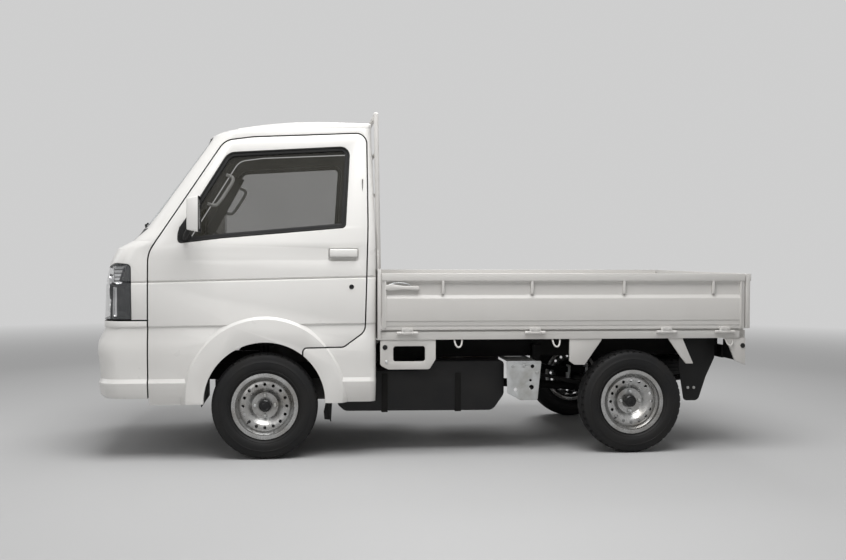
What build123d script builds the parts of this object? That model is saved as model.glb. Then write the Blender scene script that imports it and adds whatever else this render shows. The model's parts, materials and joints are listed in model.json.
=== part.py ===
from build123d import *
import math
import os

# Kei truck with a drop-side bed. X points forward, Y left and Z up, in millimetres.
# The origin is on the ground, midway along the truck, on its centreline.

# Overall size
LENGTH = 3395.0
WIDTH = 1475.0
HEIGHT = 1765.0
FRONT_OVERHANG = 855.0
REAR_OVERHANG = 635.0
HALF = WIDTH / 2
NOSE_X = LENGTH / 2
TAIL_X = -LENGTH / 2
FRONT_AXLE_X = NOSE_X - FRONT_OVERHANG
REAR_AXLE_X = TAIL_X + REAR_OVERHANG

# Wheels
TYRE_DIAMETER = 536.0
TYRE_WIDTH = 145.0
TYRE_R = TYRE_DIAMETER / 2
BEAD_R = 152.5
FLANGE_R = 167.0
FRONT_TRACK = WIDTH - 170.0
REAR_TRACK = WIDTH - 185.0
HUB_BORE_R = 30.0
HUB_FIT = 0.5
KINGPIN_INSET = 52.5
KINGPIN_Y = FRONT_TRACK / 2 - KINGPIN_INSET
KINGPIN_R = 12.0
WHEEL_Z = TYRE_R

# Cab walls
SIDE_WALL = 48.0
FRONT_WALL = 36.0
REAR_WALL = 28.0
ROOF_WALL = 28.0
SKIN = 14.0
PANEL_GAP = 7.0
SEAL_STEP = 5.0
CLEAR = 6.0
SEAT_FIT = 0.3

# Cab lengths, measured forwards from the front axle
CAB_REAR = -561.5
CAB_REAR_TOP = -540.0
CAB_REAR_X = FRONT_AXLE_X + CAB_REAR
DOOR_FRONT = 575.0
FRONT_PANEL_X = FRONT_AXLE_X + DOOR_FRONT + PANEL_GAP / 2
NOSE_SWEEP = 9000.0
GLASS_SWEEP = 2300.0
CORNER_R = 115.0
REAR_CORNER_R = 42.0

# Cab heights
BUMPER_TOP = 701.0
BUMPER_BOTTOM = 313.0
NOSE_TOP = 1100.0
BELT = 1080.0
GLASS_FOOT = 1160.0
EAVES = 1770.0
ROOF_TOP = 1757.0
ROOF_CROWN_R = 3500.0
FLOOR_Z = 480.0
FLOOR_PLATE = 25.0
SEAT_DECK_Z = WHEEL_Z + TYRE_R + 129.0

# Side and nose at each height: height above the ground at the front axle, setback from
# the foremost point, inset from half the width, slope of the crease in degrees, radius of
# the nose seen from above
CAB_LEVELS = [
    (285.0, 66.0, 44.0, 0.0, NOSE_SWEEP),
    (330.0, 12.0, 24.0, 0.0, NOSE_SWEEP),
    (392.0, 5.0, 8.0, 0.0, NOSE_SWEEP),
    (412.0, 14.0, 20.0, 0.0, NOSE_SWEEP),
    (490.0, 9.0, 14.0, 0.0, NOSE_SWEEP),
    (540.0, 0.0, 11.0, 0.0, NOSE_SWEEP),
    (600.0, 4.0, 13.0, 0.4, NOSE_SWEEP),
    (675.0, 37.0, 25.0, 0.7, NOSE_SWEEP),
    (683.0, 33.0, 16.0, 0.7, NOSE_SWEEP),
    (901.0, 41.0, 17.0, 1.4, NOSE_SWEEP),
    (908.0, 45.0, 28.0, 1.4, NOSE_SWEEP),
    (916.0, 43.0, 19.0, 1.4, NOSE_SWEEP),
    (1000.0, 63.0, 26.0, 0.7, NOSE_SWEEP),
    (1060.0, 92.0, 26.0, 0.0, 7000.0),
    (NOSE_TOP, 157.0, 27.5, 0.0, 5000.0),
    (GLASS_FOOT, 180.0, 38.0, 0.0, GLASS_SWEEP),
    (EAVES, 625.5, 144.7, 0.0, GLASS_SWEEP),
]

# Roof line seen from the side: forwards from the front axle, drop below the roof's top.
# Two arcs through three points each, then a straight front.
ROOF_LINE = [
    (-400.0, 0.0),
    (-40.0, 12.0),
    (165.0, 42.0),
    (262.0, 74.0),
    (345.0, 138.0),
    (1055.0, 738.0),
]
ROOF_SWEEP_ANGLE = 22.0

# Front wheel arch
ARCH_R = TYRE_R + 35.0
ARCH_Z = WHEEL_Z + 22.0
FLARE_R = ARCH_R + 102.0
FLARE_Z = WHEEL_Z + 52.0
FLARE_PROUD = 12.0
FLARE_BEVEL = 16.0
FLARE_DEPTH = 20.0
LINER_R = ARCH_R + 15.0
LINER_WALL = 7.0
LINER_GAP = 12.0
LINER_INNER_Y = HALF - 334.5
LINER_OUTER_Y = HALF - 85.0

# Door outline: forwards from the front axle, height, corner radius
DOOR_OUTLINE = [
    (DOOR_FRONT, 270.0, 0.0),
    (DOOR_FRONT, 1037.0, 150.0),
    (204.0, 1612.0, 90.0),
    (60.0, 1632.0, 300.0),
    (-517.0, 1661.0, 55.0),
    (-520.0, 1190.0, 900.0),
    (-505.0, 645.0, 60.0),
    (-395.0, 566.0, 40.0),
    (-190.0, 564.0, 22.0),
    (-190.0, 470.0, 0.0),
    (150.0, 270.0, 0.0),
]

# Side window in the door: forwards from the front axle, height, corner radius
WINDOW_OUTLINE = [
    (430.0, 1086.0, 18.0),
    (431.0, 1146.0, 70.0),
    (186.0, 1552.0, 70.0),
    (-433.0, 1592.0, 48.0),
    (-408.0, 1169.0, 24.0),
    (220.0, 1112.0, 500.0),
]

# Headlamp seen from the side: forwards from the front axle, height, corner radius
LAMP_OUTLINE = [
    (652.0, BUMPER_TOP + PANEL_GAP, 0.0),
    (656.0, 984.0, 24.0),
    (740.0, 990.0, 60.0),
    (800.0, 950.0, 60.0),
    (FRONT_OVERHANG + 30.0, 890.0, 0.0),
    (FRONT_OVERHANG + 30.0, BUMPER_TOP + PANEL_GAP, 0.0),
]
LAMP_INNER_Y = HALF - 342.5

# Windscreen and rear window seen from the front
SCREEN_FOOT = 1168.0
SCREEN_HEAD = 1640.0
SCREEN_FOOT_Y = HALF - 109.5
SCREEN_HEAD_Y = HALF - 189.5
SCREEN_CORNER_R = 70.0
SCREEN_THICK = 6.0
GLASS_THICK = 5.0
GLASS_DEPTH = 18.0
REAR_GLASS_Y = HALF - 267.5
REAR_GLASS_LOW = 1190.0
REAR_GLASS_HIGH = 1570.0
BACK_PANEL_Y = HALF - 141.5
REAR_GLASS_CORNER = 50.0
REAR_GLASS_REACH = 200.0
BACK_PANEL_DEPTH = 90.0
BACK_PANEL_FOOT = 560.0
SEAM_FRONT = 1648.0
SEAM_REAR = 1684.0
SEAM_KINK = (100.0, 215.0)
COWL_REAR_X = FRONT_AXLE_X + 480.0
COWL_HEAD = SCREEN_FOOT - 3.0
BUMPER_MOUTH = (240.0, 620.0, 92.0)
BUMPER_MOUTH_Z = 445.0
DOOR_CUT_Y = 300.0
LAMP_GAP = 1.5
GLASS_SEAT = 2.0

# Door hinge and range
HINGE_BACK = 4.0
HINGE_X = FRONT_AXLE_X + DOOR_FRONT - PANEL_GAP / 2 - HINGE_BACK
HINGE_Y = HALF - 10.5

# Bed
BED_FLOOR_Z = 650.0
BED_FLOOR_THICK = 9.0
BED_INNER_Y = HALF - 32.5
BED_HEIGHT = 290.0
FLOOR_EDGE = 2.0
FLOOR_END = 1.0
GATE_THICK = 25.0
GATE_TOP = BED_FLOOR_Z + BED_HEIGHT
GATE_FOOT = BED_FLOOR_Z + 2.0
RAIL_PROUD = 5.0
FRONT_WALL_X = CAB_REAR_X - 23.0
FRONT_WALL_THICK = 16.0
GATE_FRONT_X = FRONT_WALL_X - 4.0
PIN_Z = 635.0
PIN_R = 4.0
PIN_FIT = 0.5
KNUCKLE_R = 9.0
GATE_PIN_DROP = 3.0
SIDE_PIN_Y = BED_INNER_Y + GATE_THICK - GATE_PIN_DROP
TAIL_PIN_X = TAIL_X + KNUCKLE_R
TAIL_FACE_X = TAIL_PIN_X - GATE_PIN_DROP
TAIL_INNER_X = TAIL_FACE_X + GATE_THICK
GATE_REAR_X = TAIL_INNER_X + CLEAR
RAIL_DEPTH = 30.0
RAIL_END_GAP = 8.0
RAIL_OUTER_Y = SIDE_PIN_Y - KNUCKLE_R - 2.0
RAIL_TOP = BED_FLOOR_Z - BED_FLOOR_THICK
RAIL_BOTTOM = 601.0
TAIL_SILL_X = TAIL_PIN_X + KNUCKLE_R + 2.0

# Gate hinges: middle of each, measured forwards from the rear axle
SIDE_HINGES = [1186.0, 524.0, -176.0, -492.0]
TAIL_HINGES = [-560.0, 0.0, 560.0]
HINGE_LENGTH = 106.0
HINGE_MIDDLE = 58.0
HINGE_SIDE_GAP = 1.0
HINGE_BITE = 2.0
HINGE_PAST_FACE = 3.0
HINGE_STRAP = 10.0
STRAP_BITE = 8.0
PIN_CUT = 5.0

# Chassis
CHASSIS_Y = HALF - 342.5
CHASSIS_WIDTH = 56.0
CHASSIS_REAR_BOTTOM = 490.0
CHASSIS_FRONT_BOTTOM = 372.0
CHASSIS_FRONT_TOP = FLOOR_Z - FLOOR_PLATE
CHASSIS_NOSE = 715.0
CHASSIS_KICK = (600.0, 660.0, 760.0, 930.0)
SPRING_DROP = 8.0

# Guard frame behind the cab
POST_R = 12.0
POST_Y = HALF - 82.5
POST_FOOT_Z = 960.0
GUARD_TOP = HEIGHT - POST_R
GUARD_LEAN = 14.0
GUARD_FOOT_X = FRONT_WALL_X + POST_R - 4.0

# Seats and controls
SEAT_Y = HALF - 407.5
SEAT_WIDTH = HALF - 267.5
STEER_Y = -SEAT_Y
STEER_WHEEL_R = 185.0
STEER_RIM_R = 13.0
STEER_BOSS_R = 38.0
SPOKES = 3
SPOKE_SUNK = 8.0
SPOKE_WIDTH = 26.0
SPOKE_THICK = 12.0
STEER_RAKE = 38.0
STEER_HUB = (410.0, 1070.0)
COLUMN_R = 20.0

# Spare wheel lying under the tail
SPARE_X = TAIL_X + 298.0
SPARE_Z = 392.0
DISC_HUB_FACE = 14.0
HANGER_PLATE = 6.0
HANGER_PLATE_R = 48.0
HANGER_R = 9.0
HANGER_TOP = 520.0

# Door mirrors
MIRROR_X = 334.0
MIRROR_Z = 1228.0
MIRROR_Y = HALF + 112.0
MIRROR_SIZE = (62.0, 140.0, 176.0)

# Reach of cutting tools: past the whole truck, and below the cab's lowest level
DEEP = LENGTH
UNDERCUT = 80.0

os.makedirs("parts", exist_ok=True)


def keep(builder, name):
    """Label a finished piece and write it to its own file."""
    builder.part.label = name
    export_step(builder.part, f"parts/{name}.step")


def slab_xz(points, y_low, y_high):
    """Prism across the truck whose side outline is a list of (x, z, corner radius)."""
    corners = [(x, z) for x, z, radius in points]
    radii = [radius for x, z, radius in points]
    with BuildPart() as slab:
        with BuildSketch(Plane.XZ.offset(-y_high)):
            with BuildLine():
                FilletPolyline(*corners, radius=radii, close=True)
            make_face()
        extrude(amount=y_high - y_low)
    return slab.part


def cab_slab(points, y_low, y_high, grow=0.0):
    """Prism like slab_xz, with x measured from the front axle and the outline grown."""
    corners = [(FRONT_AXLE_X + x, z) for x, z, radius in points]
    radii = [radius for x, z, radius in points]
    with BuildPart() as slab:
        with BuildSketch(Plane.XZ.offset(-y_high)):
            with BuildLine():
                FilletPolyline(*corners, radius=radii, close=True)
            make_face()
            if grow:
                offset(amount=grow, kind=Kind.INTERSECTION, mode=Mode.REPLACE)
        extrude(amount=y_high - y_low)
    return slab.part


def placed(outline, origin_x):
    """Outline points (ahead, height, corner radius) moved along the truck."""
    return [(origin_x + ahead, height, radius) for ahead, height, radius in outline]


def block(x_low, x_high, y_low, y_high, z_low, z_high):
    """Plain box between two corners."""
    with BuildPart() as box:
        with Locations(((x_low + x_high) / 2, (y_low + y_high) / 2, (z_low + z_high) / 2)):
            Box(x_high - x_low, y_high - y_low, z_high - z_low)
    return box.part


def rod(start, end, radius):
    """Round bar from one point to another."""
    line = Vector(*end) - Vector(*start)
    with BuildPart() as bar:
        with BuildSketch(Plane(origin=start, z_dir=line)):
            Circle(radius)
        extrude(amount=line.length)
    return bar.part


def plan_outline(plane, x_front, x_rear, half, sweep, front_radius, rear_radius):
    """Cab outline seen from above: a swept nose, straight sides and rounded corners."""
    x_corner = x_front - sweep + math.sqrt(sweep ** 2 - half ** 2)
    with BuildSketch(plane) as outline:
        with BuildLine():
            ThreePointArc((x_corner, -half), (x_front, 0.0), (x_corner, half))
            Polyline((x_corner, half), (x_rear, half), (x_rear, -half), (x_corner, -half))
        make_face()
        fillet(outline.vertices().group_by(Axis.X)[-1], front_radius)
        fillet(outline.vertices().group_by(Axis.X)[0], rear_radius)
    return outline.sketch


def level_outline(height, setback, inset, slope, sweep, side=0.0, front=0.0, rear=0.0):
    """Outline of the cab at one height, taken in from each side by a wall."""
    tilt = math.radians(slope)
    plane = Plane(
        origin=(FRONT_AXLE_X, 0.0, height),
        x_dir=(math.cos(tilt), 0.0, -math.sin(tilt)),
        z_dir=(math.sin(tilt), 0.0, math.cos(tilt)),
    )
    rise = max(0.0, height - NOSE_TOP) / (EAVES - NOSE_TOP)
    x_rear = CAB_REAR + rise * (CAB_REAR_TOP - CAB_REAR) + rear
    x_front = FRONT_OVERHANG - setback - front
    return plan_outline(
        plane,
        x_front,
        x_rear,
        HALF - inset - side,
        sweep,
        CORNER_R - min(side, front),
        max(REAR_CORNER_R - rear, 8.0),
    )


def roof_cap(drop=0.0):
    """Everything under the crowned roof line."""
    centre = Axis((0.0, 0.0, ROOF_TOP - ROOF_CROWN_R), (1.0, 0.0, 0.0))
    line = [(FRONT_AXLE_X + ahead, ROOF_TOP - drop - below) for ahead, below in ROOF_LINE]
    with BuildPart() as cap:
        with BuildSketch(Plane.XZ):
            with BuildLine():
                ThreePointArc(*line[0:3])
                ThreePointArc(*line[2:5])
                Polyline(line[4], line[5], (line[5][0], 0.0), (TAIL_X, 0.0), (TAIL_X, line[0][1]), line[0])
            make_face()
        revolve(axis=centre, revolution_arc=ROOF_SWEEP_ANGLE)
        mirror(about=Plane.XZ)
    return cap.part


def cab_mass(side=0.0, front=0.0, rear=0.0, drop=0.0, deepen=0.0):
    """Solid cab, or the space inside it when walls are given."""
    levels = []
    for index, (height, *level) in enumerate(CAB_LEVELS):
        sunk = deepen if index == 0 else 0.0
        levels.append(level_outline(height - sunk, *level, side, front, rear))
    with BuildPart() as mass:
        loft(levels, ruled=True)
        add(roof_cap(drop), mode=Mode.INTERSECT)
    return mass.part


def greenhouse(inset_by):
    """Upper cab from the belt to the eaves, taken in all round."""
    foot, head = CAB_LEVELS[-2], CAB_LEVELS[-1]
    share = (BELT - foot[0]) / (head[0] - foot[0])
    belt = [low + share * (high - low) for low, high in zip(foot, head)]
    outlines = []
    for level in (belt, head):
        outlines.append(level_outline(*level, inset_by, inset_by, inset_by))
    with BuildPart() as upper:
        loft(outlines, ruled=True)
    return upper.part


def arch_void(radius, y_low, y_high):
    """Round wheel space that is open below."""
    with BuildPart() as void:
        with BuildSketch(Plane.XZ.offset(-y_high)):
            with Locations((FRONT_AXLE_X, ARCH_Z)):
                Circle(radius)
            with Locations((FRONT_AXLE_X, ARCH_Z - radius)):
                Rectangle(2 * radius, 2 * radius)
        extrude(amount=y_high - y_low)
    return void.part


# Solid cab with raised arch flares, its skin depth and the space inside it
with BuildPart() as cab_outer:
    add(cab_mass())
    for side in (1, -1):
        foot_y = side * (HALF - FLARE_PROUD - FLARE_DEPTH)
        with Locations(Location((FRONT_AXLE_X, foot_y, FLARE_Z), (-90 * side, 0, 0))):
            Cone(
                FLARE_R + FLARE_BEVEL * FLARE_DEPTH / (FLARE_PROUD + FLARE_DEPTH),
                FLARE_R - FLARE_BEVEL,
                FLARE_PROUD + FLARE_DEPTH,
                align=(Align.CENTER, Align.CENTER, Align.MIN),
            )
    add(block(-LENGTH, LENGTH, -DEEP, DEEP, -DEEP, CAB_LEVELS[0][0]), mode=Mode.SUBTRACT)
cab_space = cab_mass(SIDE_WALL, FRONT_WALL, REAR_WALL, ROOF_WALL, deepen=UNDERCUT)
cab_under_skin = cab_mass(SKIN, SKIN, SKIN, SKIN, deepen=UNDERCUT)
screen_outer = greenhouse(GLASS_SEAT)
screen_inner = greenhouse(GLASS_SEAT + SCREEN_THICK)
glass_outer = greenhouse(GLASS_DEPTH)
glass_inner = greenhouse(GLASS_DEPTH + GLASS_THICK)
arch = arch_void(ARCH_R, -DEEP, DEEP)

with BuildPart() as cab_shell:
    add(cab_outer.part)
    add(cab_space, mode=Mode.SUBTRACT)
    add(arch, mode=Mode.SUBTRACT)

screen_points = [
    (-SCREEN_FOOT_Y, SCREEN_FOOT),
    (SCREEN_FOOT_Y, SCREEN_FOOT),
    (SCREEN_HEAD_Y, SCREEN_HEAD),
    (-SCREEN_HEAD_Y, SCREEN_HEAD),
]
with BuildPart() as screen_prism:
    with BuildSketch(Plane.YZ.offset(FRONT_AXLE_X)):
        with BuildLine():
            FilletPolyline(*screen_points, radius=SCREEN_CORNER_R, close=True)
        make_face()
    extrude(amount=DEEP)

with BuildPart() as rear_glass_prism:
    with BuildSketch(Plane.YZ.offset(CAB_REAR_X - REAR_GLASS_REACH)):
        with Locations((0.0, (REAR_GLASS_LOW + REAR_GLASS_HIGH) / 2)):
            RectangleRounded(2 * REAR_GLASS_Y, REAR_GLASS_HIGH - REAR_GLASS_LOW, REAR_GLASS_CORNER)
    extrude(amount=2 * REAR_GLASS_REACH)

# Regions that part the cab shell into its panels, as side outlines
roof_region = cab_slab(
    [
        (-DEEP, SEAM_REAR, 0.0),
        (SEAM_KINK[0], SEAM_REAR, 0.0),
        (SEAM_KINK[1], SEAM_FRONT, 0.0),
        (DEEP, SEAM_FRONT, 0.0),
        (DEEP, DEEP, 0.0),
        (-DEEP, DEEP, 0.0),
    ],
    -DEEP,
    DEEP,
)
bumper_region = block(FRONT_PANEL_X, DEEP, -DEEP, DEEP, BUMPER_BOTTOM, BUMPER_TOP)
nose_region = block(COWL_REAR_X, DEEP, -DEEP, DEEP, BUMPER_TOP + PANEL_GAP, NOSE_TOP)
lamp_prism = cab_slab(LAMP_OUTLINE, LAMP_INNER_Y, DEEP)
door_void = cab_slab(DOOR_OUTLINE, DOOR_CUT_Y, DEEP, PANEL_GAP / 2)
right_door_void = mirror(door_void, about=Plane.XZ)
front_region = block(COWL_REAR_X, DEEP, -DEEP, DEEP, 0.0, NOSE_TOP)
cowl_region = block(COWL_REAR_X, DEEP, -SCREEN_FOOT_Y, SCREEN_FOOT_Y, NOSE_TOP, COWL_HEAD)

with BuildPart() as roof_panel:
    add(cab_shell.part)
    add(roof_region, mode=Mode.INTERSECT)
keep(roof_panel, "roof_panel")

with BuildPart() as front_bumper:
    add(cab_shell.part)
    add(bumper_region, mode=Mode.INTERSECT)
    with Locations((NOSE_X, 0.0, BUMPER_MOUTH_Z)):
        Box(*BUMPER_MOUTH, mode=Mode.SUBTRACT)
keep(front_bumper, "front_bumper")

with BuildPart() as front_panel:
    add(cab_shell.part)
    add(nose_region, mode=Mode.INTERSECT)
    add(lamp_prism, mode=Mode.SUBTRACT)
    add(mirror(lamp_prism, about=Plane.XZ, mode=Mode.PRIVATE), mode=Mode.SUBTRACT)
    add(door_void, mode=Mode.SUBTRACT)
    add(right_door_void, mode=Mode.SUBTRACT)
keep(front_panel, "front_panel")

with BuildPart() as headlamps:
    add(cab_shell.part)
    add(cab_slab(LAMP_OUTLINE, LAMP_INNER_Y, DEEP, -LAMP_GAP), mode=Mode.INTERSECT)
    mirror(about=Plane.XZ)
keep(headlamps, "headlamps")

with BuildPart() as cowl:
    add(cab_shell.part)
    add(cowl_region, mode=Mode.INTERSECT)
keep(cowl, "cowl")

with BuildPart() as windscreen:
    add(screen_outer)
    add(screen_inner, mode=Mode.SUBTRACT)
    add(screen_prism.part, mode=Mode.INTERSECT)
keep(windscreen, "windscreen")

door_skin_prism = cab_slab(DOOR_OUTLINE, DOOR_CUT_Y, DEEP, -PANEL_GAP / 2)
door_core_prism = cab_slab(DOOR_OUTLINE, DOOR_CUT_Y, DEEP, -PANEL_GAP / 2 - SEAL_STEP)
window_prism = cab_slab(WINDOW_OUTLINE, DOOR_CUT_Y, DEEP)

back_region = block(
    TAIL_X, CAB_REAR_X + BACK_PANEL_DEPTH, -BACK_PANEL_Y, BACK_PANEL_Y, BACK_PANEL_FOOT, DEEP
)
with BuildPart() as cab_back_panel:
    add(cab_shell.part)
    add(back_region, mode=Mode.INTERSECT)
    add(roof_region, mode=Mode.SUBTRACT)
    add(rear_glass_prism.part, mode=Mode.SUBTRACT)
    add(door_void, mode=Mode.SUBTRACT)
    add(right_door_void, mode=Mode.SUBTRACT)
keep(cab_back_panel, "cab_back_panel")

with BuildPart() as rear_window:
    add(glass_outer)
    add(glass_inner, mode=Mode.SUBTRACT)
    add(rear_glass_prism.part, mode=Mode.INTERSECT)
keep(rear_window, "rear_window")

with BuildPart() as cab_side_left:
    add(cab_shell.part)
    add(block(TAIL_X, NOSE_X, DOOR_CUT_Y, DEEP, 0.0, DEEP), mode=Mode.INTERSECT)
    add(block(TAIL_X, FRONT_PANEL_X, 0.0, BACK_PANEL_Y, 0.0, BELT), mode=Mode.SUBTRACT)
    add(door_void, mode=Mode.SUBTRACT)
    add(roof_region, mode=Mode.SUBTRACT)
    add(bumper_region, mode=Mode.SUBTRACT)
    add(front_region, mode=Mode.SUBTRACT)
    add(cowl_region, mode=Mode.SUBTRACT)
    add(screen_prism.part, mode=Mode.SUBTRACT)
    add(back_region, mode=Mode.SUBTRACT)
keep(cab_side_left, "cab_side_left")

with BuildPart() as cab_side_right:
    mirror(cab_side_left.part, about=Plane.XZ)
keep(cab_side_right, "cab_side_right")

with BuildPart() as door_skin:
    add(cab_outer.part)
    add(cab_under_skin, mode=Mode.SUBTRACT)
    add(door_skin_prism, mode=Mode.INTERSECT)
    add(arch, mode=Mode.SUBTRACT)
with BuildPart() as door_core:
    add(cab_under_skin)
    add(cab_space, mode=Mode.SUBTRACT)
    add(door_core_prism, mode=Mode.INTERSECT)
    add(arch_void(ARCH_R + SEAL_STEP, -DEEP, DEEP), mode=Mode.SUBTRACT)
with BuildPart() as left_door:
    add(door_skin.part)
    add(door_core.part)
    add(window_prism, mode=Mode.SUBTRACT)
keep(left_door, "left_door")

with BuildPart() as right_door:
    mirror(left_door.part, about=Plane.XZ)
keep(right_door, "right_door")

with BuildPart() as left_door_glass:
    add(glass_outer)
    add(glass_inner, mode=Mode.SUBTRACT)
    add(window_prism, mode=Mode.INTERSECT)
keep(left_door_glass, "left_door_glass")

with BuildPart() as right_door_glass:
    mirror(left_door_glass.part, about=Plane.XZ)
keep(right_door_glass, "right_door_glass")

# Cab floor: footwell, riser and seat deck in one bent plate. The doors close on its edges.
DECK_INSET = 21.7
FLOOR_HALF = HALF - SIDE_WALL - DECK_INSET - SEAT_FIT
RISER_X = FRONT_AXLE_X + LINER_R + LINER_WALL + LINER_GAP
floor_points = [
    (CAB_REAR_X, SEAT_DECK_Z, 0.0),
    (RISER_X + FLOOR_PLATE, SEAT_DECK_Z, 20.0),
    (RISER_X + FLOOR_PLATE, FLOOR_Z, 20.0),
    (NOSE_X, FLOOR_Z, 0.0),
    (NOSE_X, FLOOR_Z - FLOOR_PLATE, 0.0),
    (RISER_X, FLOOR_Z - FLOOR_PLATE, 12.0),
    (RISER_X, SEAT_DECK_Z - FLOOR_PLATE, 8.0),
    (CAB_REAR_X, SEAT_DECK_Z - FLOOR_PLATE, 0.0),
]
with BuildPart() as cab_floor:
    add(slab_xz(floor_points, -FLOOR_HALF, FLOOR_HALF))
    add(cab_space, mode=Mode.INTERSECT)
keep(cab_floor, "cab_floor")

# Dark liners round the front wheel spaces
with BuildPart() as wheel_liners:
    with BuildSketch(Plane.XZ.offset(-LINER_OUTER_Y)):
        with Locations((FRONT_AXLE_X, ARCH_Z)):
            Circle(LINER_R + LINER_WALL)
            Circle(LINER_R, mode=Mode.SUBTRACT)
            Rectangle(DEEP, DEEP, align=(Align.CENTER, Align.MAX), mode=Mode.SUBTRACT)
    extrude(amount=LINER_OUTER_Y - LINER_INNER_Y)
    mirror(about=Plane.XZ)
keep(wheel_liners, "wheel_liners")

# Chassis rails: low under the cab and raised over the rear axle
rail_points = [
    (TAIL_SILL_X + RAIL_DEPTH, RAIL_BOTTOM, 0.0),
    (TAIL_SILL_X + RAIL_DEPTH, CHASSIS_REAR_BOTTOM, 20.0),
    (FRONT_AXLE_X - CHASSIS_KICK[3], CHASSIS_REAR_BOTTOM - SPRING_DROP, 120.0),
    (FRONT_AXLE_X - CHASSIS_KICK[1], CHASSIS_FRONT_BOTTOM, 120.0),
    (FRONT_AXLE_X + CHASSIS_NOSE, CHASSIS_FRONT_BOTTOM, 20.0),
    (FRONT_AXLE_X + CHASSIS_NOSE, CHASSIS_FRONT_TOP, 0.0),
    (FRONT_AXLE_X - CHASSIS_KICK[0], CHASSIS_FRONT_TOP, 60.0),
    (FRONT_AXLE_X - CHASSIS_KICK[2], RAIL_BOTTOM, 60.0),
]
with BuildPart() as frame_rails:
    add(slab_xz(rail_points, CHASSIS_Y - CHASSIS_WIDTH, CHASSIS_Y))
    mirror(about=Plane.XZ)

# Cross members between the rails: middle, foot, head, length along x
CROSS_MEMBERS = [
    (FRONT_AXLE_X + 640.0, 380.0, 440.0, 60.0),
    (FRONT_AXLE_X + 360.0, 380.0, 440.0, 50.0),
    (FRONT_AXLE_X - 610.0, 385.0, 445.0, 60.0),
    (FRONT_AXLE_X - 1180.0, 500.0, 560.0, 60.0),
    (REAR_AXLE_X, 500.0, 570.0, 60.0),
    (SPARE_X, 500.0, 570.0, 60.0),
    (TAIL_X + 80.0, 500.0, 580.0, 50.0),
]
with BuildPart() as chassis_frame:
    add(frame_rails.part)
    inner = CHASSIS_Y - CHASSIS_WIDTH
    for middle, foot, head, along in CROSS_MEMBERS:
        add(block(middle - along / 2, middle + along / 2, -inner, inner, foot, head))
    # Hanger through the spare wheel's hub, with the plate that holds it up
    spare_foot = SPARE_Z - DISC_HUB_FACE - SEAT_FIT
    hanger_foot = (SPARE_X, 0.0, spare_foot - HANGER_PLATE)
    add(rod(hanger_foot, (SPARE_X, 0.0, HANGER_TOP), HANGER_R))
    add(rod(hanger_foot, (SPARE_X, 0.0, spare_foot), HANGER_PLATE_R))
keep(chassis_frame, "chassis_frame")

# Engine as one plain block under the seats, with its oil pan
ENGINE_REAR = FRONT_AXLE_X - 520.0
ENGINE_FRONT = FRONT_AXLE_X + 40.0
ENGINE_HALF = CHASSIS_Y - CHASSIS_WIDTH - 30.0
ENGINE_FOOT = 300.0
ENGINE_HEAD = 610.0
ENGINE_CORNER = 25.0
OIL_PAN = (380.0, 340.0, 80.0)
OIL_PAN_Z = 270.0
ENGINE_ARM_X = (ENGINE_REAR + 200.0, ENGINE_REAR + 260.0)
ENGINE_ARM_Z = (390.0, 440.0)
with BuildPart() as engine:
    add(block(ENGINE_REAR, ENGINE_FRONT, -ENGINE_HALF, ENGINE_HALF, ENGINE_FOOT, ENGINE_HEAD))
    fillet(engine.edges().filter_by(Axis.Z), ENGINE_CORNER)
    with Locations(((ENGINE_REAR + ENGINE_FRONT) / 2, 0.0, OIL_PAN_Z)):
        Box(*OIL_PAN)
    for side in (1, -1):
        y_pair = sorted((side * ENGINE_HALF, side * (CHASSIS_Y - CHASSIS_WIDTH)))
        add(block(*ENGINE_ARM_X, *y_pair, *ENGINE_ARM_Z))
keep(engine, "engine")

# Propeller shaft from the engine to the rear axle's pinion housing
PINION_X = REAR_AXLE_X + 130.0
GEARBOX_Z = 340.0
SHAFT_R = 24.0
SHAFT_GAP = 1.7
with BuildPart() as propeller_shaft:
    add(rod((ENGINE_REAR - SHAFT_GAP, 0.0, GEARBOX_Z), (PINION_X + SHAFT_GAP, 0.0, WHEEL_Z), SHAFT_R))
keep(propeller_shaft, "propeller_shaft")

# Rear axle with its round casing, hubs and drums
DIFF_R = 84.0
PINION_R = 36.0
AXLE_TUBE_R = 32.0
DRUM_R = 100.0
DRUM_DEPTH = 75.0
HUB_LENGTH = 24.0
DISC_BACK = 9.0
REAR_HUB_FACE = REAR_TRACK / 2 + DISC_BACK
tube_end = REAR_HUB_FACE - DRUM_DEPTH
with BuildPart() as rear_axle:
    add(rod((REAR_AXLE_X, -tube_end, WHEEL_Z), (REAR_AXLE_X, tube_end, WHEEL_Z), AXLE_TUBE_R))
    with Locations((REAR_AXLE_X, 0.0, WHEEL_Z)):
        Sphere(DIFF_R)
    add(rod((REAR_AXLE_X, 0.0, WHEEL_Z), (PINION_X, 0.0, WHEEL_Z), PINION_R))
    for side in (1, -1):
        drum_face = (REAR_AXLE_X, side * (REAR_HUB_FACE - HUB_FIT), WHEEL_Z)
        add(rod((REAR_AXLE_X, side * tube_end, WHEEL_Z), drum_face, DRUM_R))
        hub_end = (REAR_AXLE_X, side * (REAR_HUB_FACE + HUB_LENGTH), WHEEL_Z)
        add(rod(drum_face, hub_end, HUB_BORE_R - HUB_FIT))
keep(rear_axle, "rear_axle")

# Leaf springs over the rear axle, hung from brackets on the rails
SPRING_Y = CHASSIS_Y + 45.0
SPRING_HALF = 480.0
SPRING_WIDTH = 50.0
AXLE_TUBE_TOP = WHEEL_Z + AXLE_TUBE_R
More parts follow.
